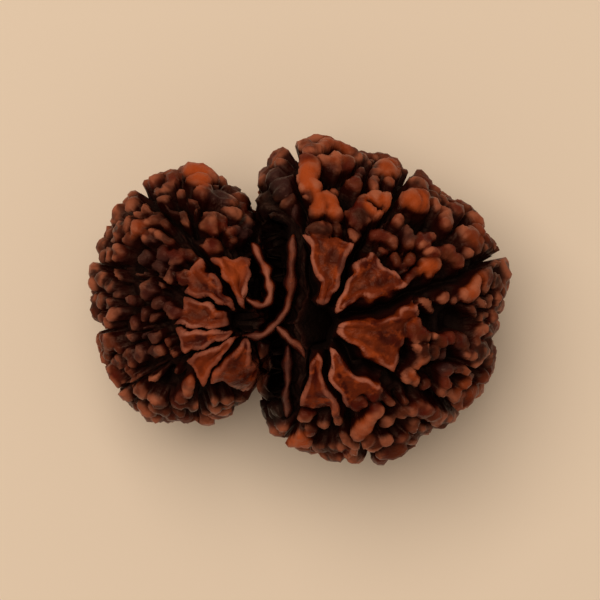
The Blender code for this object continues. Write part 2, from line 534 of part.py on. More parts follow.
def apply(thing, kind, **settings):
    """Adds a modifier to a thing and bakes its result into the mesh."""
    modifier = thing.modifiers.new(kind.title(), kind)
    for name, value in settings.items():
        setattr(modifier, name, value)
    bpy.context.view_layer.update()
    graph = bpy.context.evaluated_depsgraph_get()
    mesh = bpy.data.meshes.new_from_object(thing.evaluated_get(graph))
    thing.modifiers.clear()
    thing.data = mesh


def ground_block(lowest, material):
    """Block under the piece, whose top is where the resting spots are cut flat."""
    middle = lowest + (REST_CUT - BLOCK / 2) * MM
    bpy.ops.mesh.primitive_cube_add(size=BLOCK * MM, location=(0, 0, middle))
    block = bpy.context.object
    block.data.materials.append(material)
    return block


def seed_stone_material():
    """Oiled dark red-brown of a ripe stone."""
    material = bpy.data.materials.new("seed_stone")
    material.use_nodes = True
    shader = material.node_tree.nodes["Principled BSDF"]
    shader.inputs["Base Color"].default_value = STONE_COLOUR
    shader.inputs["Roughness"].default_value = STONE_ROUGHNESS
    shader.inputs["Metallic"].default_value = 0.0
    return material


def corners_of(thing):
    """Lowest and highest corner of a thing's mesh."""
    points = np.array([point.co for point in thing.data.vertices])
    return points.min(0), points.max(0)


def build():
    """Beads and folds joined, thinned, cut flat where they rest, and set with z = 0 below."""
    for thing in list(bpy.data.objects):
        bpy.data.objects.remove(thing)
    material = seed_stone_material()
    stone = closed_object("rudraksha", bead_surface(LARGE, GRID_STEP), material)
    others = [closed_object("small_bead", bead_surface(SMALL, GRID_STEP), material)]
    for number, (half, crest) in enumerate(FOLDS):
        others.append(closed_object("fold", fold_surface(half, crest, FOLD_SEED + 10 * number), material))
    for other in others:
        apply(stone, "BOOLEAN", operation="UNION", object=other, solver="MANIFOLD")
        bpy.data.objects.remove(other)
    apply(stone, "REMESH", mode="VOXEL", voxel_size=SKIN_STEP * MM)
    apply(stone, "SMOOTH", factor=0.5, iterations=SMOOTHING)
    share = TRIANGLES / (2 * len(stone.data.polygons))
    apply(stone, "DECIMATE", ratio=share, use_collapse_triangulate=True)
    ground = ground_block(corners_of(stone)[0][2], material)
    apply(stone, "BOOLEAN", operation="DIFFERENCE", object=ground, solver="MANIFOLD")
    bpy.data.objects.remove(ground)
    low, high = corners_of(stone)
    middle = Vector((low[0] + high[0], low[1] + high[1], 2 * low[2])) / 2
    stone.data.transform(Matrix.Translation(-middle))
    stone.data.shade_smooth()


build()
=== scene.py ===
# %% [markdown]
# # Garbh gauri rudraksha
# Two seed stones of one tree fruit that grew together side by side: a large one on the right
# and a small one on the left, seen from above, down the axes of both.
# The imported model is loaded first, as a frame of fixed size and place. The visible stone is then
# worked out again with the same formula, but much finer than a solid for checks can be.
# All lengths are millimetres until a mesh is made, unless a comment says metres.

# %% Load the frame
import math

import bpy
import numpy as np
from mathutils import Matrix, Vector


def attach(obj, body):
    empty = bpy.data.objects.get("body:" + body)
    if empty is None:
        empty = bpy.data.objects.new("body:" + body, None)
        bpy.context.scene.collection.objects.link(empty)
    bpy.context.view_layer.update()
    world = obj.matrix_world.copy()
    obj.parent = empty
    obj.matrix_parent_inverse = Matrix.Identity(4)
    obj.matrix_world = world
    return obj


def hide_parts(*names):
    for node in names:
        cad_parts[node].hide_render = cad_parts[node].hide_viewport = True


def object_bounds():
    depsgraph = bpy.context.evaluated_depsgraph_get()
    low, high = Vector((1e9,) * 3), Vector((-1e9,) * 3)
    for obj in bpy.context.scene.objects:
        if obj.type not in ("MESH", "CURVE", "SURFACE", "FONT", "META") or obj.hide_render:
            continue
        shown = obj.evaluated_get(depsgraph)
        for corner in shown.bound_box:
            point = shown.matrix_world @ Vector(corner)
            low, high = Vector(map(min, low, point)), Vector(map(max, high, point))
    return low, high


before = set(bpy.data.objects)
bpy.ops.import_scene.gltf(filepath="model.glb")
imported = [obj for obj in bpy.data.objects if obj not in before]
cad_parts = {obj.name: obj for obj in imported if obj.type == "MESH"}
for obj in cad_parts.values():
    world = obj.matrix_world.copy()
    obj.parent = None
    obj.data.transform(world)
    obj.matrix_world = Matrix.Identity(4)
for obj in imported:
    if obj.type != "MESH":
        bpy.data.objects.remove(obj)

MM = 0.001
TURN = 2 * math.pi
TINY = 1e-9            # keeps divisions away from zero
cad_box = [list(corner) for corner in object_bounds()]
print("nodes", list(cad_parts), "CAD box", cad_box)

# %% [markdown]
# ## Small tools
# Relief is made of steps, domes and swells. A smooth step that is level at both ends leaves no
# crease where it starts. A blended minimum rounds the edge where a plate falls into a cleft.
# A swell of plane waves in random directions has no grain of its own, so it bends every line
# that is worked out from it, without pulling the surface one way.

# %% Smooth step and blended minimum
SAMPLES = np.linspace(0, 1, 5)       # to try a formula on


def ease(low, high, value):
    """Smooth step: 0 up to low, 1 from high on, level at both ends; high may be below low."""
    share = np.clip((value - low) / (high - low), 0, 1)
    return share * share * (3 - 2 * share)


def lesser(first, second, blend):
    """The smaller of two heights, with their crossing rounded over the blend's width."""
    share = np.clip(0.5 + 0.5 * (second - first) / blend, 0, 1)
    return second + (first - second) * share - blend * share * (1 - share)


print("smooth step", ease(0, 1, SAMPLES))
print("lesser of a rise and a fall", lesser(SAMPLES, 1 - SAMPLES, 1))

# %% Swell
WAVES = 14                     # plane waves in a swell
WAVE_SPREAD = (0.7, 1.4)       # fewest and most of such waves in a length of the given size


def unit(vectors):
    """Vectors of length one."""
    length = np.linalg.norm(vectors, axis=-1, keepdims=True)
    return vectors / np.maximum(length, TINY)


def ripple(points, size, seed):
    """Random swell: sum of sines of plane waves of about that size in random directions, divided
    by the root of half their number, so that it is about as high as a single wave."""
    rng = np.random.default_rng(seed)
    ways = unit(rng.normal(size=(WAVES, 3))) * TURN / size
    ways *= rng.uniform(*WAVE_SPREAD, (WAVES, 1))
    return np.sin(points @ ways.T + rng.uniform(0, TURN, WAVES)).sum(-1) / math.sqrt(WAVES / 2)


print("swell of 1 mm waves, along 1 mm", ripple(np.outer(SAMPLES, (1, 0, 0)), 1, 0).round(2))

# %% [markdown]
# ## What the stone measures
# A stone is described as a seed grader would: where its axis stands, how far its rim reaches in
# each direction, where the clefts run that divide it into sections, and how long the smooth
# plate of each section is before the knobs start. The larger knobs, ridges and hollows of the
# face that shows are placed one by one. The rest is scattered by a rule further down.

# %% Measures of the joint
# The crevice where the beads meet, cut down into both of them: half width, depth, points
CREVICE = (
    (0.50, 4.5, ((-1.50, 4.0), (-1.45, 2.4), (-1.45, 0.5))),
    (0.78, 4.0, ((-2.00, 5.2), (-1.85, 4.2), (-1.60, 3.0))),
    (0.48, 4.5, ((-1.55, -2.9), (-1.55, -4.6), (-1.65, -5.8))),
    (0.36, 3.0, ((-3.10, 0.55), (-3.02, 1.8), (-3.15, 3.0))),
)

# Where the rinds meet they stand up as thin folds: half width, then x, y, z along the crest
FOLDS = (
    (0.42, ((-0.58, 4.9, 16.6), (-0.66, 3.4, 17.3), (-0.74, 1.6, 17.4), (-0.74, 0.4, 17.2),
            (-1.10, -0.5, 16.9), (-1.45, -1.1, 16.6), (-1.95, -1.6, 16.3), (-2.5, -2.1, 16.2),
            (-3.3, -2.25, 16.2), (-4.3, -2.3, 15.9))),
    (0.40, ((-1.80, -1.35, 16.3), (-1.30, -1.9, 16.6), (-0.70, -2.5, 16.9), (0.0, -3.0, 17.1),
            (0.28, -3.8, 17.0))),
    (0.36, ((-0.92, -2.8, 16.7), (-0.92, -4.5, 16.8), (-0.95, -6.2, 16.2), (-1.05, -8.0, 15.0))),
    (0.40, ((-3.55, 4.3, 15.3), (-3.10, 3.6, 15.9), (-2.70, 2.8, 16.3), (-2.35, 2.1, 16.4),
            (-2.20, 1.2, 16.5), (-2.20, 0.4, 16.4), (-2.55, -0.10, 16.3), (-3.15, -0.22, 16.4),
            (-3.70, 0.05, 16.5), (-3.95, 0.50, 16.4))),
)
print(len(CREVICE), "cuts in the crevice,", len(FOLDS), "folds")

# %% Measures of the large bead
LARGE = {
    "name": "large_bead",
    "seed": 3,
    "pole": (1.0, -1.3),
    "middle": 9.1,
    "half_height": 8.8,
    # distance from the axis to the knobs' tips, every 15 degrees
    "reach": (13.1, 14.3, 14.1, 13.3, 13.1, 12.7, 13.4, 12.1, 7.4, 5.3, 4.6, 4.5,
              4.9, 4.7, 4.7, 5.5, 7.2, 9.1, 9.6, 10.3, 11.5, 11.3, 12.5, 13.3),
    # each cleft's azimuth at the pole and at the rim, and its half width near the pole
    "clefts": ((-50, -31, 0.62), (11, 21, 0.80), (62, 57, 0.48), (101, 97, 0.45), (253, 258, 0.45),
               (279, 290, 0.42)),
    # length of the plate after each cleft: at that cleft, in its middle, at the next cleft
    "plates": ((6.8, 5.9, 7.8), (7.0, 6.1, 6.3), (6.4, 5.6, 6.6), (0, 0, 0), (5.8, 5.7, 6.4),
               (6.9, 5.3, 6.8)),
    "pit": (0.8, -1.45, 1.70, 1.68),
    # x, y, radius, rise
    "knobs": (
        (2.6, 8.0, 0.5, 0.8), (4.2, 9.3, 0.5, 0.8), (6.3, 9.5, 1.0, 1.1), (4.5, 10.2, 0.5, 0.6),
        (8.7, 9.0, 0.85, 1.0), (8.0, 7.4, 1.05, 1.05), (6.8, 5.9, 0.6, 0.9), (7.4, 4.8, 0.7, 0.8),
        (5.6, 3.9, 0.3, 0.6), (6.9, 3.9, 0.35, 0.6), (9.7, 7.8, 0.5, 0.7), (12.6, 5.9, 0.8, 1.0),
        (12.2, 4.6, 0.85, 1.0), (8.9, 2.3, 0.75, 1.0), (11.0, 2.9, 0.5, 0.8), (13.8, 3.5, 0.9, 1.0),
        (11.9, 1.4, 1.1, 1.1), (10.0, 0.7, 0.5, 0.8), (11.0, 0.2, 0.45, 0.7), (12.7, 0.1, 0.5, 0.8),
        (14.2, 1.6, 0.6, 0.8), (7.8, -5.2, 0.6, 0.9), (8.6, -6.0, 0.4, 0.6), (12.6, -6.4, 0.9, 1.0),
        (13.6, -4.4, 0.8, 0.8), (6.1, -6.7, 0.4, 0.7), (5.9, -9.8, 0.6, 0.8), (5.1, -10.3, 0.6, 0.9),
        (6.5, -10.6, 0.9, 1.0), (7.2, -9.6, 0.6, 0.9), (0.4, -7.8, 0.6, 1.0), (1.7, -8.6, 0.4, 0.8),
        (-0.2, -9.6, 1.0, 1.1), (1.3, -10.3, 0.6, 0.8), (-0.4, 6.3, 0.45, 0.8),
        (-1.5, 8.4, 1.0, 1.0), (-2.4, 8.8, 0.6, 0.8), (-1.7, 9.9, 0.6, 0.8), (-1.0, 7.1, 0.6, 0.7),
        (-2.0, -7.4, 0.6, 0.8), (-1.7, -8.5, 0.6, 0.8), (-1.8, -6.2, 0.5, 0.6), (-0.3, 11.0, 0.55, 0.8),
        (-2.7, 6.5, 0.55, 0.8), (-2.8, 5.6, 0.5, 0.8),
    ),
    # half width, rise, points
    "ridges": (
        (0.62, 1.15, ((0.1, 11.2), (0.3, 9.8), (0.7, 8.4))),
        (0.60, 1.00, ((0.8, 11.0), (2.0, 11.5), (3.2, 11.1), (3.9, 10.4))),
        (0.50, 1.00, ((1.3, 10.0), (2.4, 9.8), (3.3, 10.2))),
        (0.62, 1.00, ((0.6, 7.3), (1.8, 7.1), (2.8, 6.2))),
        (0.48, 1.00, ((4.0, 6.2), (4.5, 7.2), (5.4, 8.0), (6.0, 7.5), (5.6, 6.4), (4.6, 5.8), (4.0, 6.2))),
        (0.35, 0.80, ((5.4, 8.3), (5.3, 8.9))),
        (0.40, 0.60, ((6.2, 3.6), (7.3, 2.4))),
        (0.55, 0.95, ((9.2, 3.5), (10.8, 3.3))),
        (0.60, 0.90, ((10.3, 6.8), (10.5, 5.4))),
        (0.50, 0.90, ((14.0, 0.6), (13.9, -1.2), (13.3, -2.2))),
        (0.45, 0.90, ((13.2, -1.5), (12.4, -2.4), (11.9, -3.2))),
        (0.45, 0.90, ((9.0, -2.2), (10.4, -2.6))),
        (0.42, 0.95, ((8.3, -2.9), (8.3, -4.5))),
        (0.40, 0.95, ((10.2, -4.9), (10.9, -4.4), (11.9, -4.7), (12.0, -5.6), (11.0, -6.0), (10.2, -5.5),
                      (10.2, -4.9))),
        (0.50, 0.90, ((10.0, -6.4), (11.3, -6.9))),
        (0.60, 1.00, ((7.9, -7.6), (9.5, -7.8), (11.2, -8.2))),
        (0.50, 1.00, ((5.2, -7.4), (4.2, -8.9))),
        (0.50, 0.80, ((8.1, -9.6), (9.3, -8.8))),
        (0.45, 0.90, ((2.0, -6.9), (2.6, -8.2))),
        (0.55, 1.00, ((3.1, -9.4), (3.6, -10.6), (3.9, -11.2))),
    ),
    # x, y, radius
    "hollows": (
        (1.9, 10.6, 0.5), (2.5, 9.0, 0.8), (3.2, 7.1, 0.7), (4.8, 7.0, 0.4), (5.0, 9.2, 0.35),
        (9.2, 5.6, 0.9), (11.6, 5.6, 0.4), (9.6, -1.1, 0.9), (11.4, -1.3, 0.8), (7.4, -3.6, 0.55),
        (9.3, -4.5, 0.6), (10.9, -5.1, 0.4), (10.9, -3.8, 0.5), (13.0, -4.5, 0.5), (6.3, -7.6, 0.6),
        (5.4, -9.0, 0.4), (7.0, -8.6, 0.5), (1.8, -9.5, 0.6),
    ),
}
KINDS = ("clefts", "knobs", "ridges", "hollows")
print(LARGE["name"], [f"{len(LARGE[kind])} {kind}" for kind in KINDS])

# %% Measures of the small bead, in the same order
SMALL = {
    "name": "small_bead",
    "seed": 8,
    "pole": (-3.5, -1.3),
    "middle": 8.3,
    "half_height": 8.0,
    "reach": (2.9, 3.0, 3.2, 3.8, 4.9, 7.5, 8.1, 10.8, 12.7, 13.0, 12.6, 12.1,
              11.7, 11.3, 11.1, 9.9, 8.1, 6.5, 4.4, 4.1, 3.9, 3.4, 3.1, 2.9),
    "clefts": ((86, 86, 0.38), (122, 130, 0.38), (153, 159, 0.26), (187, 183, 0.18), (211, 205, 0.20),
               (228, 240, 0.22), (284, 276, 0.32)),
    "plates": ((4.5, 5.0, 5.5), (6.1, 5.3, 5.1), (4.9, 5.1, 5.6), (5.5, 5.2, 5.2), (5.4, 4.9, 6.3),
               (4.9, 5.0, 5.0), (0, 0, 0)),
    "pit": (-3.45, -1.2, 1.65, 0.98),
    "knobs": (
        (-7.4, 9.4, 1.3, 1.4), (-5.6, 8.4, 0.5, 0.8), (-9.0, 9.0, 0.55, 0.9), (-10.4, 8.8, 0.6, 1.0),
        (-10.2, 8.1, 0.4, 0.7), (-8.5, 8.0, 0.35, 0.8), (-13.2, 6.5, 0.7, 1.0), (-12.2, 7.1, 0.5, 0.9),
        (-11.5, 5.3, 0.75, 1.0), (-13.3, 5.0, 0.7, 0.8), (-9.9, 5.6, 0.4, 0.6), (-6.0, 5.5, 0.75, 1.1),
        (-4.9, 6.6, 0.6, 0.9), (-3.2, 6.6, 0.5, 0.7), (-3.8, 5.0, 0.45, 0.8), (-7.1, 4.0, 0.45, 0.8),
        (-13.2, 3.5, 0.8, 0.8), (-14.3, 2.0, 0.6, 0.9), (-13.0, 2.4, 0.4, 0.8), (-11.1, 3.4, 0.5, 0.6),
        (-14.3, 0.2, 0.6, 0.8), (-14.4, -1.2, 0.5, 0.7), (-14.3, -2.4, 0.5, 0.7), (-12.2, -2.3, 0.5, 0.75),
        (-13.0, -3.2, 0.5, 0.75), (-10.3, -2.2, 0.45, 0.7), (-10.3, -3.5, 0.55, 0.85),
        (-14.0, -3.4, 0.55, 0.8), (-13.4, -4.8, 0.75, 1.0), (-13.0, -6.1, 0.75, 1.0),
        (-12.4, -7.0, 0.4, 0.7), (-11.4, -7.5, 0.8, 1.0), (-10.1, -7.1, 0.55, 0.9),
        (-9.8, -8.0, 0.6, 0.9), (-8.7, -7.2, 0.5, 0.7), (-6.9, -8.8, 0.65, 1.4), (-7.6, -7.4, 0.5, 0.9),
        (-6.2, -7.4, 0.7, 1.0), (-8.7, -4.9, 0.4, 0.7),
        (-9.9, 0.2, 0.5, 0.7), (-10.9, 0.9, 0.55, 0.7), (-11.0, -0.6, 0.55, 0.7), (-12.2, 0.3, 0.55, 0.75),
        (-12.1, -1.4, 0.5, 0.7), (-10.1, -1.1, 0.45, 0.65), (-13.2, -0.6, 0.5, 0.8), (-13.2, 1.2, 0.5, 0.8),
        (-9.9, 1.5, 0.45, 0.65), (-11.0, -1.8, 0.50, 0.7), (-11.3, -3.4, 0.55, 0.8),
        (-3.0, 5.6, 0.5, 0.8), (-2.9, 4.7, 0.5, 0.8), (-3.5, 6.2, 0.45, 0.8),
    ),
    "ridges": (
        (0.40, 0.90, ((-8.1, 7.5), (-7.2, 7.1), (-7.2, 6.5))),
        (0.42, 0.95, ((-10.8, 6.9), (-9.8, 6.7), (-9.0, 6.2), (-8.3, 5.4))),
        (0.35, 0.80, ((-12.4, 6.6), (-11.2, 6.5))),
        (0.30, 0.80, ((-10.3, 4.7), (-9.2, 4.4))),
        (0.30, 0.80, ((-11.8, 2.4), (-10.6, 1.7))),
        (0.35, 0.80, ((-8.9, 3.5), (-9.0, 2.6), (-9.4, 1.4))),
        (0.38, 0.90, ((-12.7, -5.6), (-11.8, -5.1), (-10.9, -5.4), (-10.2, -4.9))),
        (0.38, 0.90, ((-8.1, -5.4), (-8.5, -6.8))),
        (0.30, 0.80, ((-5.0, 4.4), (-4.5, 4.8))),
        (0.25, 0.70, ((-9.4, -2.9), (-9.0, -3.8))),
    ),
    "hollows": (
        (-8.4, 6.7, 0.4), (-7.3, 5.5, 0.5), (-6.2, 7.2, 0.6), (-9.0, 7.4, 0.5), (-11.8, 4.0, 0.6),
        (-12.3, 2.9, 0.5), (-10.6, -6.0, 0.6),
        (-9.5, -5.9, 0.6), (-5.5, -6.3, 0.7),
    ),
}
print(SMALL["name"], [f"{len(SMALL[kind])} {kind}" for kind in KINDS])

# %% [markdown]
# ## The bare bead
# Under its relief each bead is a squat spheroid. It could be a scaled sphere, but the outline in
# plan is uneven and flat towards the joint, so the plan outline is a closed curve through
# measured reaches, and the side is a superellipse, a little squarer than an ellipse.
# The grid has two parameters: the turn round the axis and the way down from the upper pole.
# Both are spaced by length along the surface, so that the knobs at the rim get as many points
# as the plates on top.

# %% Outline and side
SIDE_POWER = 2.25      # 2 is an ellipse, more is squarer
RELIEF = 0.9           # how far the knobs at the rim stand out of the bare spheroid


def closed_curve(values, azimuth):
    """Catmull-Rom curve through values at equal steps of azimuth, closed on itself."""
    knots = np.asarray(values, float)
    count = len(knots)
    place = (azimuth % TURN) / TURN * count
    index = np.floor(place).astype(int)
    step = place - index
    before, here, after, beyond = (knots[(index + k) % count] for k in (-1, 0, 1, 2))
    bend = 3 * (here - after) + beyond - before
    slope = 2 * before - 5 * here + 4 * after - beyond + step * bend
    return here + 0.5 * step * (after - before + step * slope)


def side(down):
    """Superellipse from pole to pole: how far out and how far up, each as a share."""
    out = np.sin(down) ** (2 / SIDE_POWER)
    return out, np.sign(np.cos(down)) * np.abs(np.cos(down)) ** (2 / SIDE_POWER)


def spheroid(bead, turn, down):
    """Bare bead: the outline in plan, times the side's superellipse from pole to pole."""
    out, up = side(down)
    reach = (closed_curve(bead["reach"], turn) - RELIEF) * out
    x = bead["pole"][0] + reach * np.cos(turn)
    y = bead["pole"][1] + reach * np.sin(turn)
    return np.stack([x, y, bead["middle"] + bead["half_height"] * up], -1)


for bead in (LARGE, SMALL):
    print(bead["name"], "reaches", closed_curve(bead["reach"], SAMPLES * TURN).round(1), "mm out")

# %% Grid
GRID_STEP = 0.218      # distance between the grid's points
TRIAL_STEP = 0.8       # the same for a first look at numbers
RIM_POINTS = 721       # points in which the rim and the side are measured
SIDE_POINTS = 2001
LEAST_REACH = 5.0      # a nearer rim gets as many of the grid's points as one this far away
NEAR_POLE = 1e-4       # how near to the poles the grid starts and ends, as an angle
SEEN_RISE = 0.6        # how far above the bare bead a place on it is seen


def grid_of(bead, step):
    """Grid of points on the bare bead, evenly spaced round its rim and down its side."""
    fine = np.linspace(0, TURN, RIM_POINTS)
    pace = np.maximum(closed_curve(bead["reach"], fine), LEAST_REACH)
    run = np.concatenate([[0], np.cumsum((pace[1:] + pace[:-1]) / 2)]) * (fine[1] - fine[0])
    around = round(run[-1] / step)
    turn = np.interp(np.arange(around) / around * run[-1], run, fine)
    fine = np.linspace(0, math.pi, SIDE_POINTS)
    out, up = side(fine)
    pace = np.hypot(np.diff(out) * max(bead["reach"]), np.diff(up) * bead["half_height"])
    run = np.concatenate([[0], np.cumsum(pace)])
    rows = round(run[-1] / step)
    down = np.interp(np.linspace(0, 1, rows) * run[-1], run, fine)
    down = np.clip(down, NEAR_POLE, math.pi - NEAR_POLE)
    return spheroid(bead, *np.meshgrid(turn, down, indexing="ij"))


def outward(grid):
    """Outward normals of a grid that closes on itself along its first axis."""
    along = np.roll(grid, -1, 0) - np.roll(grid, 1, 0)
    return unit(np.cross(np.gradient(grid, axis=1), along))


def seen(grid):
    """Where points of the bare bead will be once plates and knobs have been raised on it."""
    return grid + outward(grid) * SEEN_RISE


for bead in (LARGE, SMALL):
    grid = grid_of(bead, GRID_STEP)
    print("bare bead", grid.shape[:2], "points,", np.ptp(grid, (0, 1)).round(1), "mm")

# %% [markdown]
# ## Sections and plates
# Clefts run from pole to pole and divide the stone into sections. Near the pole each section
# carries a smooth plate with a raised lip along both clefts. A mask painted by hand would have
# to be drawn for each plate. Measuring every point against the nearest cleft gives all of them
# at once, on the underside too.

# %% Where a point lies among the clefts


def sectors(bead, points):
    """Distance from the pole, from the nearest cleft and which cleft that is, share of the way
    to the rim, the cleft before each point and how far it is from that one to the next."""
    plan = points[..., :2] - np.array(bead["pole"])
    out = np.linalg.norm(plan, axis=-1)
    azimuth = np.arctan2(plan[..., 1], plan[..., 0])
    share = np.clip(out / closed_curve(bead["reach"], azimuth), 0, 1)
    start, end = np.radians(np.array(bead["clefts"], float)[:, :2]).T
    line = start + (end - start) * share[..., None]
    past = (azimuth[..., None] - line) % TURN
    aside = np.minimum(past, TURN - past)
    gap = aside.min(-1) * out
    before = past.argmin(-1)
    left = (TURN - past).min(-1)
    way = past.min(-1) / np.maximum(past.min(-1) + left, TINY)
    return out, gap, aside.argmin(-1), share, before, way


for bead in (LARGE, SMALL):
    gap = sectors(bead, grid_of(bead, TRIAL_STEP))[1]
    print(bead["name"], "points are up to", gap.max().round(1), "mm away from a cleft")

# %% Plates
PLATE_BEND = 2.2               # power of the bend from a plate's middle length to those at its sides
PLATE_EDGE = (-0.25, 0.2)      # where its end starts and is up, from its length inwards
UNDER_STRETCH = (1.15, 0.8)    # the underside's way counts so many times as long, plus so many mm


def plate_ends(bead, before, way):
    """Length of a plate: its middle value, bent to its values beside both clefts."""
    near, middle, far = np.array(bead["plates"], float)[before].transpose(-1, *range(before.ndim))
    return middle + (near - middle) * (1 - way) ** PLATE_BEND + (far - middle) * way ** PLATE_BEND


def plate_run(bead, points, out):
    """Way from the pole as the plates count it; longer on the underside, so they end sooner."""
    under = points[..., 2] < bead["middle"]
    return np.where(under, out * UNDER_STRETCH[0] + UNDER_STRETCH[1], out)


def plate_mask(bead, grid, points):
    """1 on the plates, 0 past their ends, with a short slope between."""
    out, _, _, _, before, way = sectors(bead, points)
    return ease(*PLATE_EDGE, plate_ends(bead, before, way) - plate_run(bead, grid, out))


for bead in (LARGE, SMALL):
    grid = grid_of(bead, TRIAL_STEP)
    share = plate_mask(bead, grid, seen(grid)).mean()
    print(bead["name"], "has plates at", round(100 * share), "% of its points")

# %% [markdown]
# ## Knobs and ridges
# Outside the plates the stone is a crowd of rounded knobs and short winding ridges. Each one is
# a dome over a point or a line on the bare bead. The placed ones come first. Between them, and
# over the sides and the underside, more are dropped in random order wherever there is room,
# slightly drawn out in a random direction, so that no two are alike. The draw is seeded.

# %% Seats of knobs and ridges
SEAT_STEP = 0.25       # the seats' own grid, so that they stay the same at any fineness
RIDGE_STEPS = 4        # points in a stretch of a ridge


def seats(bead, places):
    """Points on the upper half of the bare bead, whose knobs are seen at places in plan."""
    grid = grid_of(bead, SEAT_STEP)
    half = grid.shape[1] // 2
    upper = seen(grid)[:, :half].reshape(-1, 3)
    offsets = upper[None, :, :2] - np.asarray(places, float)[:, None]
    return grid[:, :half].reshape(-1, 3)[(offsets ** 2).sum(-1).argmin(1)]


def ridge_seats(bead, places):
    """Points along a line of straight stretches, set on the bare bead."""
    places = np.array(places)
    steps = np.linspace(0, 1, RIDGE_STEPS + 1)[:-1, None]
    runs = [first + (last - first) * steps for first, last in zip(places[:-1], places[1:])]
    return seats(bead, np.concatenate(runs + [places[-1:]]))


for bead in (LARGE, SMALL):
    print(bead["name"], "has its first knob at", seats(bead, [bead["knobs"][0][:2]]).round(1))

# %% Free ground
PLATE_ROOM = 0.45      # how far the middle of a scattered knob stays away from plates and clefts


def free_ground(bead):
    """Points of the seats' grid, how far each is from a cleft, and which of them lie past the
    plates and off the clefts."""
    grid = grid_of(bead, SEAT_STEP)
    points = grid.reshape(-1, 3)
    out, gap, _, _, before, way = sectors(bead, seen(grid).reshape(-1, 3))
    past_plate = plate_run(bead, points, out) > plate_ends(bead, before, way) + PLATE_ROOM
    return points, gap, np.flatnonzero(past_plate & (gap > PLATE_ROOM))


for bead in (LARGE, SMALL):
    points, _, free = free_ground(bead)
    print(bead["name"], "has free ground at", len(free), "of", len(points), "points")

# %% Scattered knobs
SCATTER_RADIUS = (0.50, 1.05)  # of the room that a scattered knob takes
SCATTER_LIMIT = 450            # the most that a bead gets
SCATTER_TRIES = 12000          # the most points that are tried
SCATTER_ROOM = 0.86            # least distance between two, as a share of both radii
PLACED_ROOM = (0.95, 0.75)     # the same from a placed one: shares of its radius and of their own
CLEFT_ROOM = (0.8, 0.1)        # the same from a cleft: share of the radius, and mm more


def scatter(bead, taken, taken_radius, rng):
    """Centres and radii of knobs, dropped in random order wherever there is room for one."""
    points, gap, free = free_ground(bead)
    centres = np.empty((0, 3))
    radii = np.empty(0)
    for index in rng.permutation(free)[:SCATTER_TRIES]:
        point = points[index]
        radius = rng.uniform(*SCATTER_RADIUS)
        if gap[index] < radius * CLEFT_ROOM[0] + CLEFT_ROOM[1]:
            continue
        room = taken_radius * PLACED_ROOM[0] + radius * PLACED_ROOM[1]
        if (np.linalg.norm(taken - point, axis=1) < room).any():
            continue
        if (np.linalg.norm(centres - point, axis=1) < (radii + radius) * SCATTER_ROOM).any():
            continue
        centres = np.vstack([centres, point])
        radii = np.append(radii, radius)
        if len(radii) == SCATTER_LIMIT:
            break
    return centres, radii


print("scattered knobs take up radii of", SCATTER_RADIUS, "mm")

# %% All knobs and ridges
SCATTER_RISE = (0.75, 1.15)
SMALL_KNOB = (0.35, 0.75)      # share of the rise that any knob has, and what each mm of radius adds
SCATTER_STRETCH = 0.55         # how far they are drawn out at most, as a share of the radius
SCATTER_WIDTH = 0.92           # their own width, as a share of the room that they take
HOLLOW_ROOM = 0.8              # share of a hollow's radius that is kept free
JOINT_ROOM = 0.9               # how far they stay away from the crevice and the folds


def kept_free(bead):
    """Points and radii of the places where no knob is scattered: hollows, crevice and folds."""
    empty = [(seats(bead, [(x, y)]), radius * HOLLOW_ROOM) for x, y, radius in bead["hollows"]]
    lines = [line for _, _, line in CREVICE] + [[place[:2] for place in crest] for _, crest in FOLDS]
    return empty + [(ridge_seats(bead, line), JOINT_ROOM) for line in lines]


def mounds(bead):
    """All knobs and ridges as (line on the bare bead, half width, rise)."""
    placed = [(seats(bead, [(x, y)]), radius, rise) for x, y, radius, rise in bead["knobs"]]
    placed += [(ridge_seats(bead, line), half, rise) for half, rise, line in bead["ridges"]]
    kept = [(line, half) for line, half, _ in placed] + kept_free(bead)
    widths = np.concatenate([np.full(len(line), half) for line, half in kept])
    rng = np.random.default_rng(bead["seed"])
    centres, radii = scatter(bead, np.concatenate([line for line, _ in kept]), widths, rng)
    for centre, radius in zip(centres, radii):
        rise = rng.uniform(*SCATTER_RISE) * min(1.0, SMALL_KNOB[0] + SMALL_KNOB[1] * radius)
        stretch = unit(rng.normal(size=3)) * rng.uniform(0, SCATTER_STRETCH) * radius
        placed.append((np.array([centre - stretch, centre + stretch]), radius * SCATTER_WIDTH, rise))
    return placed


for bead in (LARGE, SMALL):
    bead["mounds"] = mounds(bead)
    print(bead["name"], len(bead["mounds"]), "knobs and ridges")

# %% Height of knobs and ridges
DOME_FOOT = 1.15               # radius of a dome's foot, as a share of its half width
DOME_POWERS = (2.4, 0.6)       # of the profile: A and B of mound_sum
MERGE_POWER = 5                # the more, the sharper the crease between neighbours


def line_distance(points, line):
    """Distance of each point from a line of straight stretches, or from its one point."""
    nearest = np.linalg.norm(points - line[0], axis=-1)
    for first, last in zip(line[:-1], line[1:]):
        way = last - first
        share = np.clip((points - first) @ way / max(way @ way, TINY), 0, 1)
        away = np.linalg.norm(points - first - share[..., None] * way, axis=-1)
        nearest = np.minimum(nearest, away)
    return nearest


def mound_sum(points, placed):
    """Sum of powers of all domes: each its rise times (1 - share of the way to its foot ^ A) ^ B."""
    total = np.zeros(points.shape[:-1])
    for line, half, rise in placed:
        foot = half * DOME_FOOT
        inside = ((points > line.min(0) - foot) & (points < line.max(0) + foot)).all(-1)
        share = np.minimum(line_distance(points[inside], line) / foot, 1)
        total[inside] += (rise * (1 - share ** DOME_POWERS[0]) ** DOME_POWERS[1]) ** MERGE_POWER
    return total


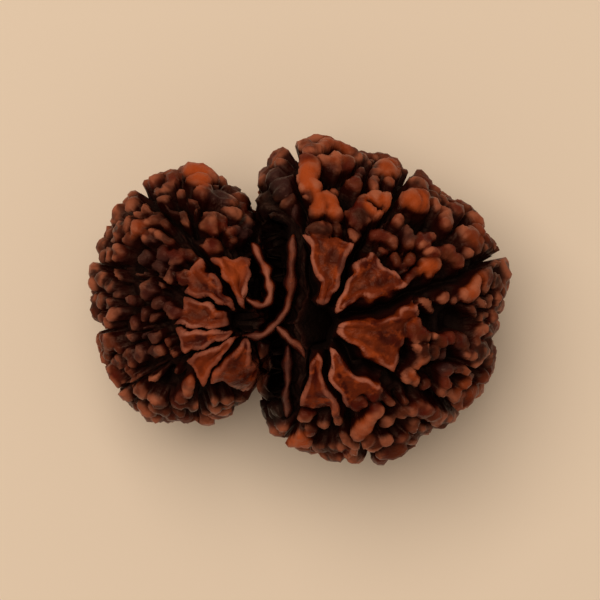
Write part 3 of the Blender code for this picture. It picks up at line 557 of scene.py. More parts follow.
dome = mound_sum(np.outer(SAMPLES, (1, 0, 0)), [(np.zeros((1, 3)), 1, 1)]) ** (1 / MERGE_POWER)
print("a dome of radius 1 and rise 1, from its middle outwards", dome.round(2))

# %% [markdown]
# ## Relief
# Plates and domes are merged by the fifth root of their fifth powers: close to the larger of
# the two, but with no crease. Then things are taken away: hollows, the clefts with their steep
# walls and the pit at each pole. Carving tools or brushes could do it by hand, but a formula is
# the same for both beads and at any fineness. Every line is first bent by a swell, so nothing
# looks drawn with a ruler.

# %% Bend
# Added to a bead's seed, only to set the random draws for these apart
DRAWS = {"plates": 5, "wide": 10, "fine": 20, "gnarl": 40, "streaks": 60}
WIDE_SWELL = (3.1, 0.17)       # length of the waves, and how high they are
FINE_SWELL = (1.3, 0.08)


def bend(bead, grid):
    """Shifts of the points by two swells, a wide one and a fine one."""
    wide = [ripple(grid, WIDE_SWELL[0], bead["seed"] + DRAWS["wide"] + k) for k in range(3)]
    fine = [ripple(grid, FINE_SWELL[0], bead["seed"] + DRAWS["fine"] + k) for k in range(3)]
    return WIDE_SWELL[1] * np.stack(wide, -1) + FINE_SWELL[1] * np.stack(fine, -1)


for bead in (LARGE, SMALL):
    shift = np.linalg.norm(bend(bead, grid_of(bead, TRIAL_STEP)), axis=-1)
    print(bead["name"], "lines are bent by", shift.mean().round(2), "mm on average")

# %% What is raised
PLATE_RISE = 0.50
PLATE_SWELL = (2.0, 0.04)
LIP_RISE = 0.30
LIP_PLACE = 0.05       # distance of a plate's lip from the edge of the cleft
LIP_WIDTH = 0.30
FLOOR = -0.78          # the ground between knobs, against the bare spheroid
FLOOR_END = 0.45       # rise from which it is not felt any more


def raised(bead, grid, points, plate, edge_gap):
    """Plates, with a bell-shaped lip by the distance from a cleft's edge, merged with the domes:
    the root of the sum of their powers; and the lower ground wherever neither rises."""
    lip = np.exp(-((edge_gap - LIP_PLACE) / LIP_WIDTH) ** 2)
    swell = PLATE_SWELL[1] * ripple(grid, PLATE_SWELL[0], bead["seed"] + DRAWS["plates"])
    plates = plate * (PLATE_RISE + LIP_RISE * lip + swell)
    height = (plates ** MERGE_POWER + mound_sum(points, bead["mounds"])) ** (1 / MERGE_POWER)
    return height + FLOOR * (1 - ease(0.0, FLOOR_END, height))


for bead in (LARGE, SMALL):
    grid = grid_of(bead, TRIAL_STEP)
    mask = plate_mask(bead, grid, seen(grid))
    height = raised(bead, grid, grid, mask, sectors(bead, seen(grid))[1])
    span = height.min().round(2), height.max().round(2)
    print(bead["name"], "is raised by", span, "mm, with clefts of no width")

# %% What is taken away
HOLLOW_DEPTH = 1.1
HOLLOW_WIDTH = 0.95    # how wide a hollow is, as a share of its radius
HOLLOW_POWER = 2.5     # how steep its side is
CLEFT_STOPS = (0.25, 0.9, 1.0)       # shares of the way to the rim that the next two are for
CLEFT_NARROWING = (1.0, 0.72, 0.44)  # share of the cleft's half width
CLEFT_DEPTH = (1.9, 1.3, 0.9)
FULL_DEPTH_HALF = 0.5                # narrower clefts are less deep
CLEFT_FLOOR = 0.05                   # half width of the level bottom
CLEFT_BLEND = 0.25                   # how widely the upper edge is rounded
PIT_DEPTH = 4.2
PIT_EDGE = (1.15, 0.80)      # where a pit's wall starts and ends, as a share of its half widths
PIT_RIM = (0.8, 1.5)         # between these shares of them, the relief fades in


def cleft_size(bead, nearest, share):
    """Half width and depth of the nearest cleft; both are less towards the rim and on the side."""
    half = np.array(bead["clefts"])[:, 2][nearest]
    depth = np.interp(share, CLEFT_STOPS, CLEFT_DEPTH) * np.minimum(half / FULL_DEPTH_HALF, 1) ** 0.5
    return half * np.interp(share, CLEFT_STOPS, CLEFT_NARROWING), depth


def hollowed(bead, points, height):
    """Less the depth of each hollow times exp(-(share of its width) ^ power)."""
    for x, y, radius in bead["hollows"]:
        away = line_distance(points, seats(bead, [(x, y)]))
        height = height - HOLLOW_DEPTH * np.exp(-(away / (radius * HOLLOW_WIDTH)) ** HOLLOW_POWER)
    return height


def cleft(height, gap, half, depth):
    """The lesser of the height and a wall that rises from the cleft's bottom to a plate's top."""
    wall = -depth + (depth + PLATE_RISE) * np.maximum(gap - CLEFT_FLOOR, 0) / half
    return lesser(height, wall, CLEFT_BLEND)


def pitted(bead, above, height):
    """Less an oval pit at both poles, where the relief fades out."""
    x, y, half_x, half_y = bead["pit"]
    rim = np.hypot((above[..., 0] - x) / half_x, (above[..., 1] - y) / half_y)
    return height * ease(*PIT_RIM, rim) - PIT_DEPTH * ease(*PIT_EDGE, rim)


print("clefts are up to", max(CLEFT_DEPTH), "mm deep, pits", PIT_DEPTH, "mm")

# %% Relief of a bead
GNARL = ((0.9, 0.075), (0.6, 0.045))       # swells that roughen it: length of the waves, height
GNARL_OF_PLATES = 0.3                      # share of it that plates have


def relief(bead, grid, shift, plate):
    """Height over the bare bead: what is raised, less hollows, clefts and pits, plus a gnarl."""
    points = grid + shift
    above = seen(grid) + shift
    _, gap, nearest, share, _, _ = sectors(bead, above)
    half, depth = cleft_size(bead, nearest, share)
    height = raised(bead, grid, points, plate, gap - half)
    height = cleft(hollowed(bead, points, height), gap, half, depth)
    height = pitted(bead, above, height)
    seed = bead["seed"] + DRAWS["gnarl"]
    gnarl = sum(high * ripple(grid, size, seed + k) for k, (size, high) in enumerate(GNARL))
    return height + (1 - (1 - GNARL_OF_PLATES) * plate) * gnarl


for bead in (LARGE, SMALL):
    grid = grid_of(bead, TRIAL_STEP)
    height = relief(bead, grid, bend(bead, grid), plate_mask(bead, grid, seen(grid)))
    print(bead["name"], "relief from", height.min().round(2), "to", height.max().round(2), "mm")

# %% [markdown]
# ## Crevice
# Where the beads meet there is a dark crevice between the rinds. It could be part of the relief,
# but the surface is steep there, and a cut along its normals would go sideways into the other
# bead. So the points near the joint are moved straight down instead, after the rest is raised.

# %% Crevice
CREVICE_WALL = (1.1, 0.7)      # where a wall starts and ends, as a share of the half width
CREVICE_TOP = (3.0, 6.0)       # heights over a bead's middle from which it is cut, and cut fully
CREVICE_SWAY = 0.6             # share of the bend that it follows


def crevice_depth(bead, surface, shift):
    """How far the crevice is cut straight down at each point, on the upper half alone."""
    depth = np.zeros(surface.shape[:-1])
    for half, sunk, line in CREVICE:
        away = line_distance(surface[..., :2] + CREVICE_SWAY * shift[..., :2], np.array(line))
        depth = np.maximum(depth, sunk * ease(half * CREVICE_WALL[0], half * CREVICE_WALL[1], away))
    return depth * ease(*CREVICE_TOP, surface[..., 2] - bead["middle"])


for bead in (LARGE, SMALL):
    grid = grid_of(bead, TRIAL_STEP)
    print(bead["name"], "is cut down", crevice_depth(bead, grid, bend(bead, grid)).max().round(1), "mm")

# %% [markdown]
# ## From relief to surface
# Raising points straight out of the bare bead gives knobs like buttons. Part of each rise is
# therefore kept back and added along the normals of the raised surface, which swells each knob
# sideways over the gap beside it. The same normals give a measure of how far a point stands out
# of its surroundings, and the finish uses that for paler edges, partly wear and partly painted
# highlight, and for painted shade in corners.

# %% Raised surface
SWELL = 0.3                # share of a rise that goes along the normals of the raised surface
SWELL_ROUNDS = 2           # times that those normals are averaged
FACING_ROUNDS = 1          # the same for the normals that edges and bulges are measured along
NEAR_ROUNDS = 3            # times that a surface is averaged, to find its edges
WIDE_ROUNDS = 16           # the same, to find its bulges


def averaged(values, times):
    """Values on a grid, each replaced that many times by the mean of itself and its neighbours."""
    for _ in range(times):
        values = (values + np.roll(values, 1, 0) + np.roll(values, -1, 0)) / 3
        values[:, 1:-1] = (values[:, :-2] + values[:, 1:-1] + values[:, 2:]) / 3
    return values


def lifted_surface(grid, height):
    """Points moved by their height along the bare bead's normals, but a share of each rise along
    those of the surface so raised."""
    normals = outward(grid)
    surface = grid + normals * ((1 - SWELL) * height)[..., None]
    swell = unit(averaged(outward(surface), SWELL_ROUNDS))
    rise = np.maximum(height, 0)
    surface += swell * (SWELL * rise)[..., None] + normals * (SWELL * (height - rise))[..., None]
    return surface


def standing_out(surface, rounds):
    """How far each point stands out of the surface averaged so many times, along its normal."""
    facing = unit(averaged(outward(surface), FACING_ROUNDS))
    return ((surface - averaged(surface, rounds)) * facing).sum(-1)


for bead in (LARGE, SMALL):
    out = standing_out(grid_of(bead, TRIAL_STEP), WIDE_ROUNDS)
    print(bead["name"], "bare, stands out by up to", out.max().round(2), "mm")

# %% Tints and the shade of the joint
# Knobs that ripened to a brighter orange (up to 1) or stayed purple (down to -1): x, y, radius, value
TINTS = (
    (-7.3, 9.4, 1.3, 1.0), (0.6, 9.0, 1.2, 0.9), (5.4, 7.2, 1.1, 0.9), (6.4, 9.5, 1.1, 0.7),
    (8.0, 7.2, 1.1, 0.8), (12.0, 1.4, 1.2, 0.8), (-0.2, -9.8, 1.0, 0.9), (8.9, 2.3, 0.9, 0.8),
    (4.4, -8.5, 1.0, 0.7), (1.7, 7.0, 1.2, 0.8), (-11.7, 5.3, 1.0, 0.6), (8.2, -4.6, 0.9, 0.7),
    (11.6, -5.6, 1.3, 0.5), (2.4, 11.2, 1.4, 0.5), (-5.0, 2.4, 1.3, 0.7), (4.0, -2.6, 1.4, 0.5),
    (-11.4, -7.6, 0.9, 0.4), (12.5, 5.2, 1.2, 0.4), (-7.0, -5.0, 1.2, 0.5), (-1.5, 8.6, 1.3, -1.0),
    (-3.8, 5.0, 0.8, -1.0), (-0.4, 6.3, 0.7, -0.9), (7.3, 4.9, 0.8, -0.6), (4.4, 9.4, 0.8, -0.5),
    (-5.9, 7.6, 0.8, -0.9), (-2.0, -7.6, 1.2, -0.7), (10.6, -3.9, 1.0, -0.8),
    (-9.0, 3.5, 5.0, -0.12), (-6.2, -1.4, 3.2, -0.22), (-11.3, 0.0, 2.6, -0.38),
    (-10.8, 3.6, 1.3, -0.5), (-11.0, -3.0, 1.4, -0.6), (7.4, -3.8, 0.8, -0.8),
    (9.3, -4.5, 0.8, -0.7), (3.1, 2.7, 0.7, -0.5), (-3.0, 6.4, 0.8, -0.8), (-9.2, 2.6, 0.9, -0.4),
)

# Where the beads meet, as seen from above, over the joint's upper and lower end
JOINT_LINES = (
    ((-2.9, 7.6), (-2.3, 6.3), (-1.9, 5.0), (-1.6, 3.8), (-1.5, 0.4)),
    ((-1.5, -2.6), (-1.6, -5.4), (-2.2, -7.4)),
)

TINT_EDGE = (1.3, 0.6)         # shares of its radius at which a tint starts and is full
SHADE_EDGE = (1.7, 0.7)        # distances from the joint's lines at which the shade starts and is full
UPPER_SIDE = (8.0, 10.0)       # heights from which tints and shade start, and are full


def tints(surface):
    """Warm spots as positive and purple ones as negative values, fading out over their radius."""
    tint = np.zeros(surface.shape[:-1])
    upper = ease(*UPPER_SIDE, surface[..., 2])
    for x, y, radius, value in TINTS:
        away = np.hypot(surface[..., 0] - x, surface[..., 1] - y) / radius
        tint += value * ease(*TINT_EDGE, away) * upper
    return tint


def joint_shade(surface):
    """1 along the crevice, where no light comes, to 0 away from it; on the upper side alone."""
    plan = surface[..., :2]
    away = np.minimum(*(line_distance(plan, np.array(line)) for line in JOINT_LINES))
    return ease(*SHADE_EDGE, away) * ease(*UPPER_SIDE, surface[..., 2])


for bead in (LARGE, SMALL):
    grid = grid_of(bead, TRIAL_STEP)
    print(bead["name"], "shade up to", joint_shade(grid).max().round(2), "tint", tints(grid).max().round(2))

# %% Surface of a bead
TONE_BASE = 5.0                # added to heights, because points that the union makes read as 0
STREAKS = (6, 0.45, 0.2)       # waves in a radian round the pole, in each mm outwards and up


def streaks(bead, grid):
    """Fine uneven lines that run out from the pole: a swell that is much longer than wide."""
    plan = grid[..., :2] - np.array(bead["pole"])
    azimuth = np.arctan2(plan[..., 1], plan[..., 0])
    out = np.linalg.norm(plan, axis=-1)
    around, outwards, upwards = STREAKS
    along = out * outwards + grid[..., 2] * upwards
    round_pole = [np.cos(azimuth) * around, np.sin(azimuth) * around, along]
    return ripple(np.stack(round_pole, -1), 1.0, bead["seed"] + DRAWS["streaks"])


def bead_surface(bead):
    """Grid of the finished bead, and what its finish reads at each point."""
    grid = grid_of(bead, GRID_STEP)
    shift = bend(bead, grid)
    plate = plate_mask(bead, grid, seen(grid) + shift)
    height = relief(bead, grid, shift, plate)
    surface = lifted_surface(grid, height)
    cut = crevice_depth(bead, surface, shift)
    surface[..., 2] -= cut
    measures = {"height": height - cut + TONE_BASE, "plate": plate}
    measures["edge"] = standing_out(surface, NEAR_ROUNDS)
    measures["bulge"] = standing_out(surface, WIDE_ROUNDS)
    measures["streak"] = streaks(bead, grid)
    measures["tint"] = tints(surface)
    measures["shade"] = joint_shade(surface)
    return surface, measures


beads = {bead["name"]: bead_surface(bead) for bead in (LARGE, SMALL)}
for name, (surface, measures) in beads.items():
    print(name, surface.shape[:2], "points, edges up to", measures["edge"].max().round(2), "mm")

# %% [markdown]
# ## Folds of the joint
# Where the two rinds pressed on each other they stood up as thin crests: one along each side of
# the crevice, a loop round a slot in the small bead, and a crossing between the pits. They could
# be ridges on the beads, but the surface is steep there and lies at another height on each bead.
# So each fold is a wall of its own. Its grid runs along the crest and round the wall's section,
# and it reaches so deep that the union roots it in both beads.

# %% Crest of a fold
FOLD_STEP = 0.13               # distance between its points
FOLD_SMOOTHING = 14            # times that its corners are rounded
FOLD_SWAY = (1.6, 0.045)       # its waves: length, height


def crest_line(crest, seed):
    """Points at equal steps along a crest, with rounded corners and a slight sway, and how far
    along it each one is."""
    crest = np.array(crest)
    run = np.concatenate([[0], np.cumsum(np.linalg.norm(np.diff(crest, axis=0), axis=1))])
    along = np.linspace(0, run[-1], round(run[-1] / FOLD_STEP))
    line = np.stack([np.interp(along, run, crest[:, k]) for k in range(3)], -1)
    for _ in range(FOLD_SMOOTHING):
        line[1:-1] = (line[:-2] + line[1:-1] + line[2:]) / 3
    line += FOLD_SWAY[1] * np.stack([ripple(line, FOLD_SWAY[0], seed + k) for k in range(3)], -1)
    return line, along


for _, crest in FOLDS:
    print("crest of", crest_line(crest, 0)[1][-1].round(1), "mm")

# %% Surface of a fold
FOLD_SEEDS = (100, 10, 5)      # of the first fold, added for each next one, added for its width
FOLD_DEPTH = 3.4               # how far the folds reach down into the beads
FOLD_AROUND = 26               # points round a fold
FOLD_END = 3                   # length of the rounded ends, in half widths
FOLD_DIP = 0.5                 # how far the ends dip
FOLD_WAIST = (1.1, 0.18)       # waves of its width: length, share
FOLD_TINTS = (-0.50, -0.45, -0.65, -0.15)      # the outer ones stayed dull
# What the finish reads at the crest, and how that falls off down the wall: the crest gets the
# lips' paler tone, partly painted highlight, and the falling height darkens the wall as painted shade
FOLD_HEIGHT = (0.95, 1.3)      # less for each mm down
FOLD_BULGE = (0.3, 0.4)
FOLD_EDGE = (0.24, 0.5)        # gone at this many mm down


def fold_measures(down, tint):
    """What the finish reads at each point: a plate whose lip is the crest."""
    blank = np.zeros(down.shape)
    measures = {"plate": blank + 1, "streak": blank, "tint": blank + tint, "shade": blank}
    measures["height"] = FOLD_HEIGHT[0] - FOLD_HEIGHT[1] * down + TONE_BASE
    measures["edge"] = ease(FOLD_EDGE[1], 0.0, down) * FOLD_EDGE[0]
    measures["bulge"] = FOLD_BULGE[0] - FOLD_BULGE[1] * down
    return measures


def fold_surface(half, crest, seed, tint):
    """Grid of a fold: an upright ellipse under each point of the crest, smaller towards both ends."""
    line, along = crest_line(crest, seed)
    way = unit(np.gradient(line[:, :2], axis=0))
    left = np.clip(np.minimum(along, along[-1] - along) / (FOLD_END * half), 0, 1)
    taper = np.sqrt(1 - (1 - left) ** 2)
    angle = np.linspace(0, TURN, FOLD_AROUND, endpoint=False)[:, None]
    wide = half * (1 + FOLD_WAIST[1] * ripple(line, FOLD_WAIST[0], seed + FOLD_SEEDS[2])) * taper
    across = wide * np.cos(angle)
    down = (1 - np.sin(angle)) / 2 * FOLD_DEPTH * taper + FOLD_DIP * (1 - taper)
    x = line[:, 0] + way[:, 1] * across
    y = line[:, 1] - way[:, 0] * across
    return np.stack([x, y, line[:, 2] - down], -1), fold_measures(down, tint)


folds = []
for number, (half, crest) in enumerate(FOLDS):
    seed = FOLD_SEEDS[0] + FOLD_SEEDS[1] * number
    folds.append(fold_surface(half, crest, seed, FOLD_TINTS[number]))
print("folds of", [surface.shape[:2] for surface, _ in folds], "points")

# %% [markdown]
# ## One stone
# Beads and folds are closed, and they overlap at the joint. Left so, walls would be hidden
# inside. A Boolean union joins them in one skin. The lowest plates are then pressed flat, because
# the stone rests there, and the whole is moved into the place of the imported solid.

# %% Mesh of a closed grid


def in_scene(name, data):
    """A new object in the scene that shows a mesh, a light or a camera."""
    thing = bpy.data.objects.new(name, data)
    bpy.context.scene.collection.objects.link(thing)
    return thing


def closed_object(name, surface, measures):
    """Closed mesh of a grid: a ring of quads for each step along, and a fan at each end."""
    around, rows = surface.shape[:2]
    rows -= 2
    this = np.arange(around)[:, None] * rows
    after = (np.arange(around)[:, None] + 1) % around * rows
    down = np.arange(rows - 1)
    quads = np.stack([this + down, this + down + 1, after + down + 1, after + down], -1)
    top = np.hstack([this, after, np.full_like(this, around * rows)])
    bottom = np.hstack([after + rows - 1, this + rows - 1, np.full_like(this, around * rows + 1)])

    def along_mesh(values):
        """Values of the grid in the mesh's order, with one mean value for each pole."""
        inner = values[:, 1:-1].reshape(-1, *values.shape[2:])
        return np.concatenate([inner, [values[:, 0].mean(0)], [values[:, -1].mean(0)]])

    mesh = bpy.data.meshes.new(name)
    faces = quads.reshape(-1, 4).tolist() + top.tolist() + bottom.tolist()
    mesh.from_pydata((along_mesh(surface) * MM).tolist(), [], faces)
    for measure, values in measures.items():
        layer = mesh.attributes.new(measure, "FLOAT", "POINT")
        layer.data.foreach_set("value", along_mesh(values).astype(np.float32))
    return in_scene(name, mesh)


pieces = [closed_object(name, *made) for name, made in beads.items()]
pieces += [closed_object("fold", *made) for made in folds]
print("closed meshes of", [len(piece.data.polygons) for piece in pieces], "faces")

# %% Union


def joined(things, name):
    """Boolean union of closed meshes, as a new object; the old ones are removed."""
    for other in things[1:]:
        union = things[0].modifiers.new("join", "BOOLEAN")
        union.operation = "UNION"
        union.solver = "MANIFOLD"
        union.object = other
    graph = bpy.context.evaluated_depsgraph_get()
    mesh = bpy.data.meshes.new_from_object(things[0].evaluated_get(graph))
    for thing in things:
        bpy.data.objects.remove(thing)
    mesh.name = name
    return in_scene(name, mesh)


stone = joined(pieces, "fused_stone")
print("one skin of", len(stone.data.polygons), "faces")

# %% Set the stone down
NODE = "rudraksha"
REST_CUT = 0.35        # how much the resting spots are flattened


def points_of(mesh):
    """A mesh's points as rows of x, y, z."""
    points = np.empty(len(mesh.vertices) * 3)
    mesh.vertices.foreach_get("co", points)
    return points.reshape(-1, 3)


points = points_of(stone.data)
points[:, 2] = np.maximum(points[:, 2], points[:, 2].min() + REST_CUT * MM)
low, high = points.min(0), points.max(0)
points -= [(low[0] + high[0]) / 2, (low[1] + high[1]) / 2, low[2]]
stone.data.vertices.foreach_set("co", points.ravel())
stone.data.shade_smooth()
stone.data.update()
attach(stone, "root")
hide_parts(NODE)
print("stone", (np.ptp(points, 0) / MM).round(2), "mm")

# %% [markdown]
# ## Finish
# A ripe stone is red-brown, oiled and handled. Its plates are smooth and orange-brown with paler
# lips, partly rubbed and partly painted highlight. The knobs are darker and redder, and the clefts,
# hollows and pits are painted almost black as shade. An image could carry this, but it would have
# to be painted over a shape that has no natural unfolding. Here the shape itself carries its
# measures as attributes, and the colour is read from height, edge and bulge, varied by noise.

# %% Material, and the measures that it reads
material = bpy.data.materials.new("oiled_seed_stone")
material.use_nodes = True
tree = material.node_tree


def node(kind, **settings):
    """A node of the stone's material with some of its plain settings filled in."""
    made = tree.nodes.new(kind)
    for name, value in settings.items():
        setattr(made, name, value)
    return made


def feed(socket, value):
    """Links another node's output to a socket, or sets the socket's own value."""
    if isinstance(value, bpy.types.NodeSocket):
        tree.links.new(value, socket)
    else:
        socket.default_value = value


def maths(operation, first, second):
    """Math node of two values."""
    made = node("ShaderNodeMath", operation=operation)
    feed(made.inputs[0], first)
    feed(made.inputs[1], second)
    return made.outputs[0]


def attribute(name):
    """Value of a point attribute of the mesh."""
    return node("ShaderNodeAttribute", attribute_name=name).outputs["Fac"]


height = maths("SUBTRACT", attribute("height"), TONE_BASE)
edge = attribute("edge")
bulge = attribute("bulge")
tint = attribute("tint")
print("stone's attributes", [layer.name for layer in stone.data.attributes if layer.name[0] != "."])

# %% Mixing by value and by noise
place = node("ShaderNodeTexCoord").outputs["Object"]


def between(value, low, high, start=0.0, end=1.0):
    """Map Range node: value from low to high becomes start to end, clamped and eased."""
    made = node("ShaderNodeMapRange", interpolation_type="SMOOTHSTEP")
    for number, given in enumerate((value, low, high, start, end)):
        feed(made.inputs[number], given)
    return made.outputs[0]


def mixed(share, first, second):
    """Mix node for colours."""
    made = node("ShaderNodeMix", data_type="RGBA")
    for name, given in (("Factor_Float", share), ("A_Color", first), ("B_Color", second)):
        socket = next(s for s in made.inputs if s.identifier == name)
        feed(socket, given)
    return next(s for s in made.outputs if s.identifier == "Result_Color")


def noise(scale, detail):
    """Value of a noise texture on Object coordinates; its scale counts patches to a metre."""
    made = node("ShaderNodeTexNoise")
    feed(made.inputs["Vector"], place)
    made.inputs["Scale"].default_value = scale
    made.inputs["Detail"].default_value = detail
    return made.outputs["Fac"]


def cloud(scale, detail, *levels):
    """Noise, with the levels between which it comes in, and what it then becomes."""
    return between(noise(scale, detail), *levels)


print("nodes to start with", len(tree.nodes))

# %% [markdown]
# ### Knobs
# Knobs vary from red to brown with darker stains. Those that ripened more are orange, laid on
# their tops as painted highlight. Many tops get a paler tone, partly handling wear and partly
# painted highlight. Each darkens towards its foot as painted shade. A colour for each knob could
# be drawn at random, but patches of noise that cross from one to the next look more grown.

# %% Colour of the knobs
KNOB_RED = (0.080, 0.0044, 0.0009, 1)
KNOB_BROWN = (0.088, 0.0135, 0.0034, 1)
KNOB_DARK = (0.030, 0.0050, 0.0020, 1)
ORANGE = (0.360, 0.0500, 0.0070, 1)
# Paler tone of the knobs' tops: partly handling wear, partly painted highlight
KNOB_TOP_WEAR_AND_HIGHLIGHT = (0.350, 0.0880, 0.0360, 1)
# Painted shade of hollows, knob feet, low ground and inner corners
HOLLOW_SHADE = (0.0140, 0.0013, 0.0006, 1)
# Noise: scale, detail, the two levels between which it comes in, and what it becomes
PATCHES = (620, 3.0, 0.38, 0.62)
STAINS = (260, 3.0, 0.50, 0.66)
KNOB_WEAR_AND_HIGHLIGHT_PATCHES = (420, 3.0, 0.40, 0.58, 0.10, 0.90)
# Measures of the shape between which something comes in
WARM_TINT = (0.0, 1.0)
# Bulges over which the orange comes in: painted highlight on the tops of tinted knobs
TOP_HIGHLIGHT_BULGE = (-0.1, 0.35)
KNOB_HIGHLIGHT_EDGE = (0.10, 0.30)
# Painted shade: heights over which a knob darkens towards its foot
KNOB_FOOT_SHADE = (0.05, 1.00)

knobs = mixed(cloud(*PATCHES), KNOB_RED, KNOB_BROWN)
knobs = mixed(cloud(*STAINS), knobs, KNOB_DARK)
# Orange of riper knobs, laid on their standing-out tops alone: real tint and painted highlight
tint_and_top_highlight = maths("MULTIPLY", between(tint, *WARM_TINT), between(bulge, *TOP_HIGHLIGHT_BULGE))
knobs = mixed(tint_and_top_highlight, knobs, ORANGE)
# Painted highlight, with some wear, on the knobs' most standing-out tops
knob_wear_and_highlight = maths("MULTIPLY", between(edge, *KNOB_HIGHLIGHT_EDGE), cloud(*KNOB_WEAR_AND_HIGHLIGHT_PATCHES))
knobs = mixed(knob_wear_and_highlight, knobs, KNOB_TOP_WEAR_AND_HIGHLIGHT)
# Painted shade towards each knob's foot
knobs = mixed(between(height, *KNOB_FOOT_SHADE), HOLLOW_SHADE, knobs)
print("nodes with the knobs", len(tree.nodes))

# %% [markdown]
# ### Plates
# The smooth plates are mottled, with streaks that run out from the pole and small orange specks.
# Their lips stand highest and get a paler, pinkish tone, partly rubbing wear and partly
# painted highlight, more in some places than in others. One even line would look painted, so
# the tone is multiplied by noise.

# %% Colour of the plates
PLATE_BROWN = (0.145, 0.0165, 0.0022, 1)
PLATE_DARK = (0.054, 0.0036, 0.0009, 1)
# Paler lips: partly rubbing wear, partly painted highlight
LIP_WEAR_AND_HIGHLIGHT = (0.440, 0.1300, 0.0680, 1)
MOTTLE = (620, 4.0)
MOTTLE_LEVELS = (0.36, 0.62)
STREAK_SHARE = 0.08            # what the streaks add to the mottle
SPECKS = (1500, 3.0, 0.50, 0.68, 0.0, 0.55)
PLATE_WARMTH = 0.7             # how orange a fully tinted plate is
LIP_WEAR_AND_HIGHLIGHT_PATCHES = (300, 2.0, 0.40, 0.60, 0.22, 0.66)
PLATE_LIP = (0.08, 0.21)

mottle = maths("ADD", noise(*MOTTLE), maths("MULTIPLY", attribute("streak"), STREAK_SHARE))
plates = mixed(between(mottle, *MOTTLE_LEVELS), PLATE_DARK, PLATE_BROWN)
plates = mixed(cloud(*SPECKS), plates, ORANGE)
plates = mixed(maths("MULTIPLY", between(tint, *WARM_TINT), PLATE_WARMTH), plates, ORANGE)
# Painted highlight, with some wear, on the plates' lips
plates = mixed(maths("MULTIPLY", between(edge, *PLATE_LIP), cloud(*LIP_WEAR_AND_HIGHLIGHT_PATCHES)), plates, LIP_WEAR_AND_HIGHLIGHT)
print("nodes with the plates", len(tree.nodes))

# %% [markdown]
# ### Dark places
# Painted shade darkens low ground, inner corners, the joint and most of all the clefts and
# pits. Shadow alone would leave them too bright, because the pale sky lights them from all
# round, so the shape's own height and bulge darken them.

# %% Colour of the whole stone
PURPLE = (0.031, 0.0085, 0.0062, 1)
# Painted shade, near black, of clefts, pits and the joint
DEEP_SHADE = (0.0026, 0.0007, 0.0006, 1)
PURPLE_TINT = (0.0, -1.0)
# Heights and bulges below which painted shade darkens low ground and inner corners
LOW_GROUND_SHADE = (-0.05, 0.60)
INNER_CORNER_SHADE = (-0.28, 0.20)
CLEFT_BOTTOM_SHADE = (-1.1, -0.1)
JOINT_DARKNESS = 0.92          # how dark the joint's shade is at its darkest

body = mixed(attribute("plate"), knobs, plates)
body = mixed(between(tint, *PURPLE_TINT), body, PURPLE)
# Painted shade on low ground and in inner corners
body = mixed(between(height, *LOW_GROUND_SHADE), HOLLOW_SHADE, body)
body = mixed(between(bulge, *INNER_CORNER_SHADE), HOLLOW_SHADE, body)
# Painted shade along the joint, and darkest at the bottom of clefts and pits
body = mixed(maths("MULTIPLY", attribute("shade"), JOINT_DARKNESS), body, DEEP_SHADE)
body = mixed(between(height, *CLEFT_BOTTOM_SHADE), DEEP_SHADE, body)
print("nodes with the dark places", len(tree.nodes))

# %% [markdown]
# ### Sheen and grain
# Handling leaves an uneven satin sheen that is lost in the clefts, and the skin has fine pores.
# They could be cut into the mesh, but are smaller than its faces, so a bump carries them.

# %% Shader of the stone
SATIN = (700, 2.0, 0.3, 0.7, 0.30, 0.50)
DULL_DEPTHS = (0.3, -0.8, 0.0, 0.3)        # heights between which it turns dull, and by how much
GLOSS = 0.16
SHEEN = (1.0, 0.50, 0.30, 1)
PORES = ((2600, 3.0), (1100, 2.0))
PORE_STRENGTH = 0.75
PORE_DEPTH = 0.15              # millimetres

shader = tree.nodes["Principled BSDF"]
feed(shader.inputs["Base Color"], body)
feed(shader.inputs["Roughness"], maths("ADD", cloud(*SATIN), between(height, *DULL_DEPTHS)))
shader.inputs["Specular IOR Level"].default_value = GLOSS
shader.inputs["Specular Tint"].default_value = SHEEN
bump = node("ShaderNodeBump")
bump.inputs["Strength"].default_value = PORE_STRENGTH
bump.inputs["Distance"].default_value = PORE_DEPTH * MM
feed(bump.inputs["Height"], maths("ADD", *(noise(*layer) for layer in PORES)))
feed(shader.inputs["Normal"], bump.outputs["Normal"])
stone.data.materials.clear()
stone.data.materials.append(material)
print("nodes in all", len(tree.nodes))

# %% [markdown]
# ## Stage
# The stone lies on a plain pale floor. The camera looks straight down on the poles, from far
# enough away that the rims are hardly foreshortened, as in the picture that this follows.
# A small lamp would draw hard shadows, and a sky alone would draw none. So a large soft light
# stands nearly overhead, a little to the upper left, and an even pale sky fills its shadows.

# %% Floor
FLOOR_SIZE = 1.2               # metres
FLOOR_COLOUR = (0.84, 0.62, 0.42, 1)
FLOOR_ROUGHNESS = 0.75


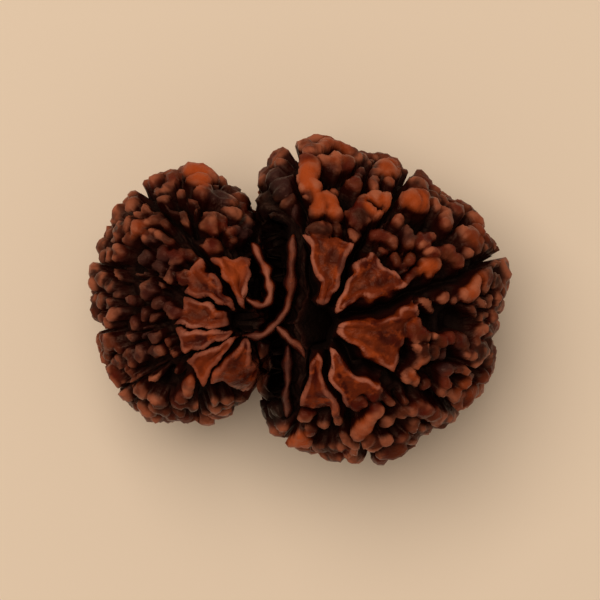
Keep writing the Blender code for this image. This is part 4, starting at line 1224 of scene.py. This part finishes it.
def plain_floor():
    """Level square under the stone, in one even colour."""
    half = FLOOR_SIZE / 2
    mesh = bpy.data.meshes.new("floor")
    corners = [(-half, -half, 0), (half, -half, 0), (half, half, 0), (-half, half, 0)]
    mesh.from_pydata(corners, [], [(0, 1, 2, 3)])
    material = bpy.data.materials.new("pale_floor")
    material.use_nodes = True
    shader = material.node_tree.nodes["Principled BSDF"]
    shader.inputs["Base Color"].default_value = FLOOR_COLOUR
    shader.inputs["Roughness"].default_value = FLOOR_ROUGHNESS
    mesh.materials.append(material)
    thing = in_scene("floor", mesh)


plain_floor()
print("floor", FLOOR_SIZE, "m square")

# %% Light and sky
WINDOW_PLACE = (-0.14, 0.18, 0.60)         # metres
WINDOW_SIZE = 0.50
WINDOW_POWER = 2.75                        # watts
SKY_COLOUR = (1.0, 0.98, 0.95, 1)
SKY_STRENGTH = 0.36


def soft_light(name, place, size, power, aim):
    """Square area light, turned to its aim."""
    lamp = bpy.data.lights.new(name, "AREA")
    lamp.size = size
    lamp.energy = power
    thing = in_scene(name, lamp)
    thing.location = place
    thing.rotation_euler = (aim - Vector(place)).to_track_quat("-Z", "Y").to_euler()


def sky(colour, strength):
    """Even light from all round."""
    world = bpy.data.worlds.new("sky")
    world.use_nodes = True
    world.node_tree.nodes["Background"].inputs["Color"].default_value = colour
    world.node_tree.nodes["Background"].inputs["Strength"].default_value = strength
    bpy.context.scene.world = world


middle = Vector([(low + high) / 2 for low, high in zip(*cad_box)])
sky(SKY_COLOUR, SKY_STRENGTH)
soft_light("window", WINDOW_PLACE, WINDOW_SIZE, WINDOW_POWER, middle)
print("light", round((Vector(WINDOW_PLACE) - middle).length, 2), "m from the stone's middle")

# %% Colours as they are
# No contrast curve is laid over the picture
bpy.context.scene.view_settings.view_transform = "Standard"
print("view transform", bpy.context.scene.view_settings.view_transform)

# %% Camera
LENS = 200.0           # focal length
SENSOR = 36.0
FILLED = 0.70          # share of the picture's width that the stone takes
NEAREST = 0.01         # metres from the camera at which things start to show


def camera():
    """Camera straight above the middle of the stone."""
    width = (cad_box[1][0] - cad_box[0][0]) / FILLED
    away = width * LENS / SENSOR
    lens = bpy.data.cameras.new("camera")
    lens.lens = LENS
    lens.sensor_width = SENSOR
    lens.clip_start = NEAREST
    thing = in_scene("camera", lens)
    thing.location = (middle.x, middle.y, middle.z + away)
    bpy.context.scene.camera = thing
    print("camera", round(away, 3), "m above the stone's middle")


camera()
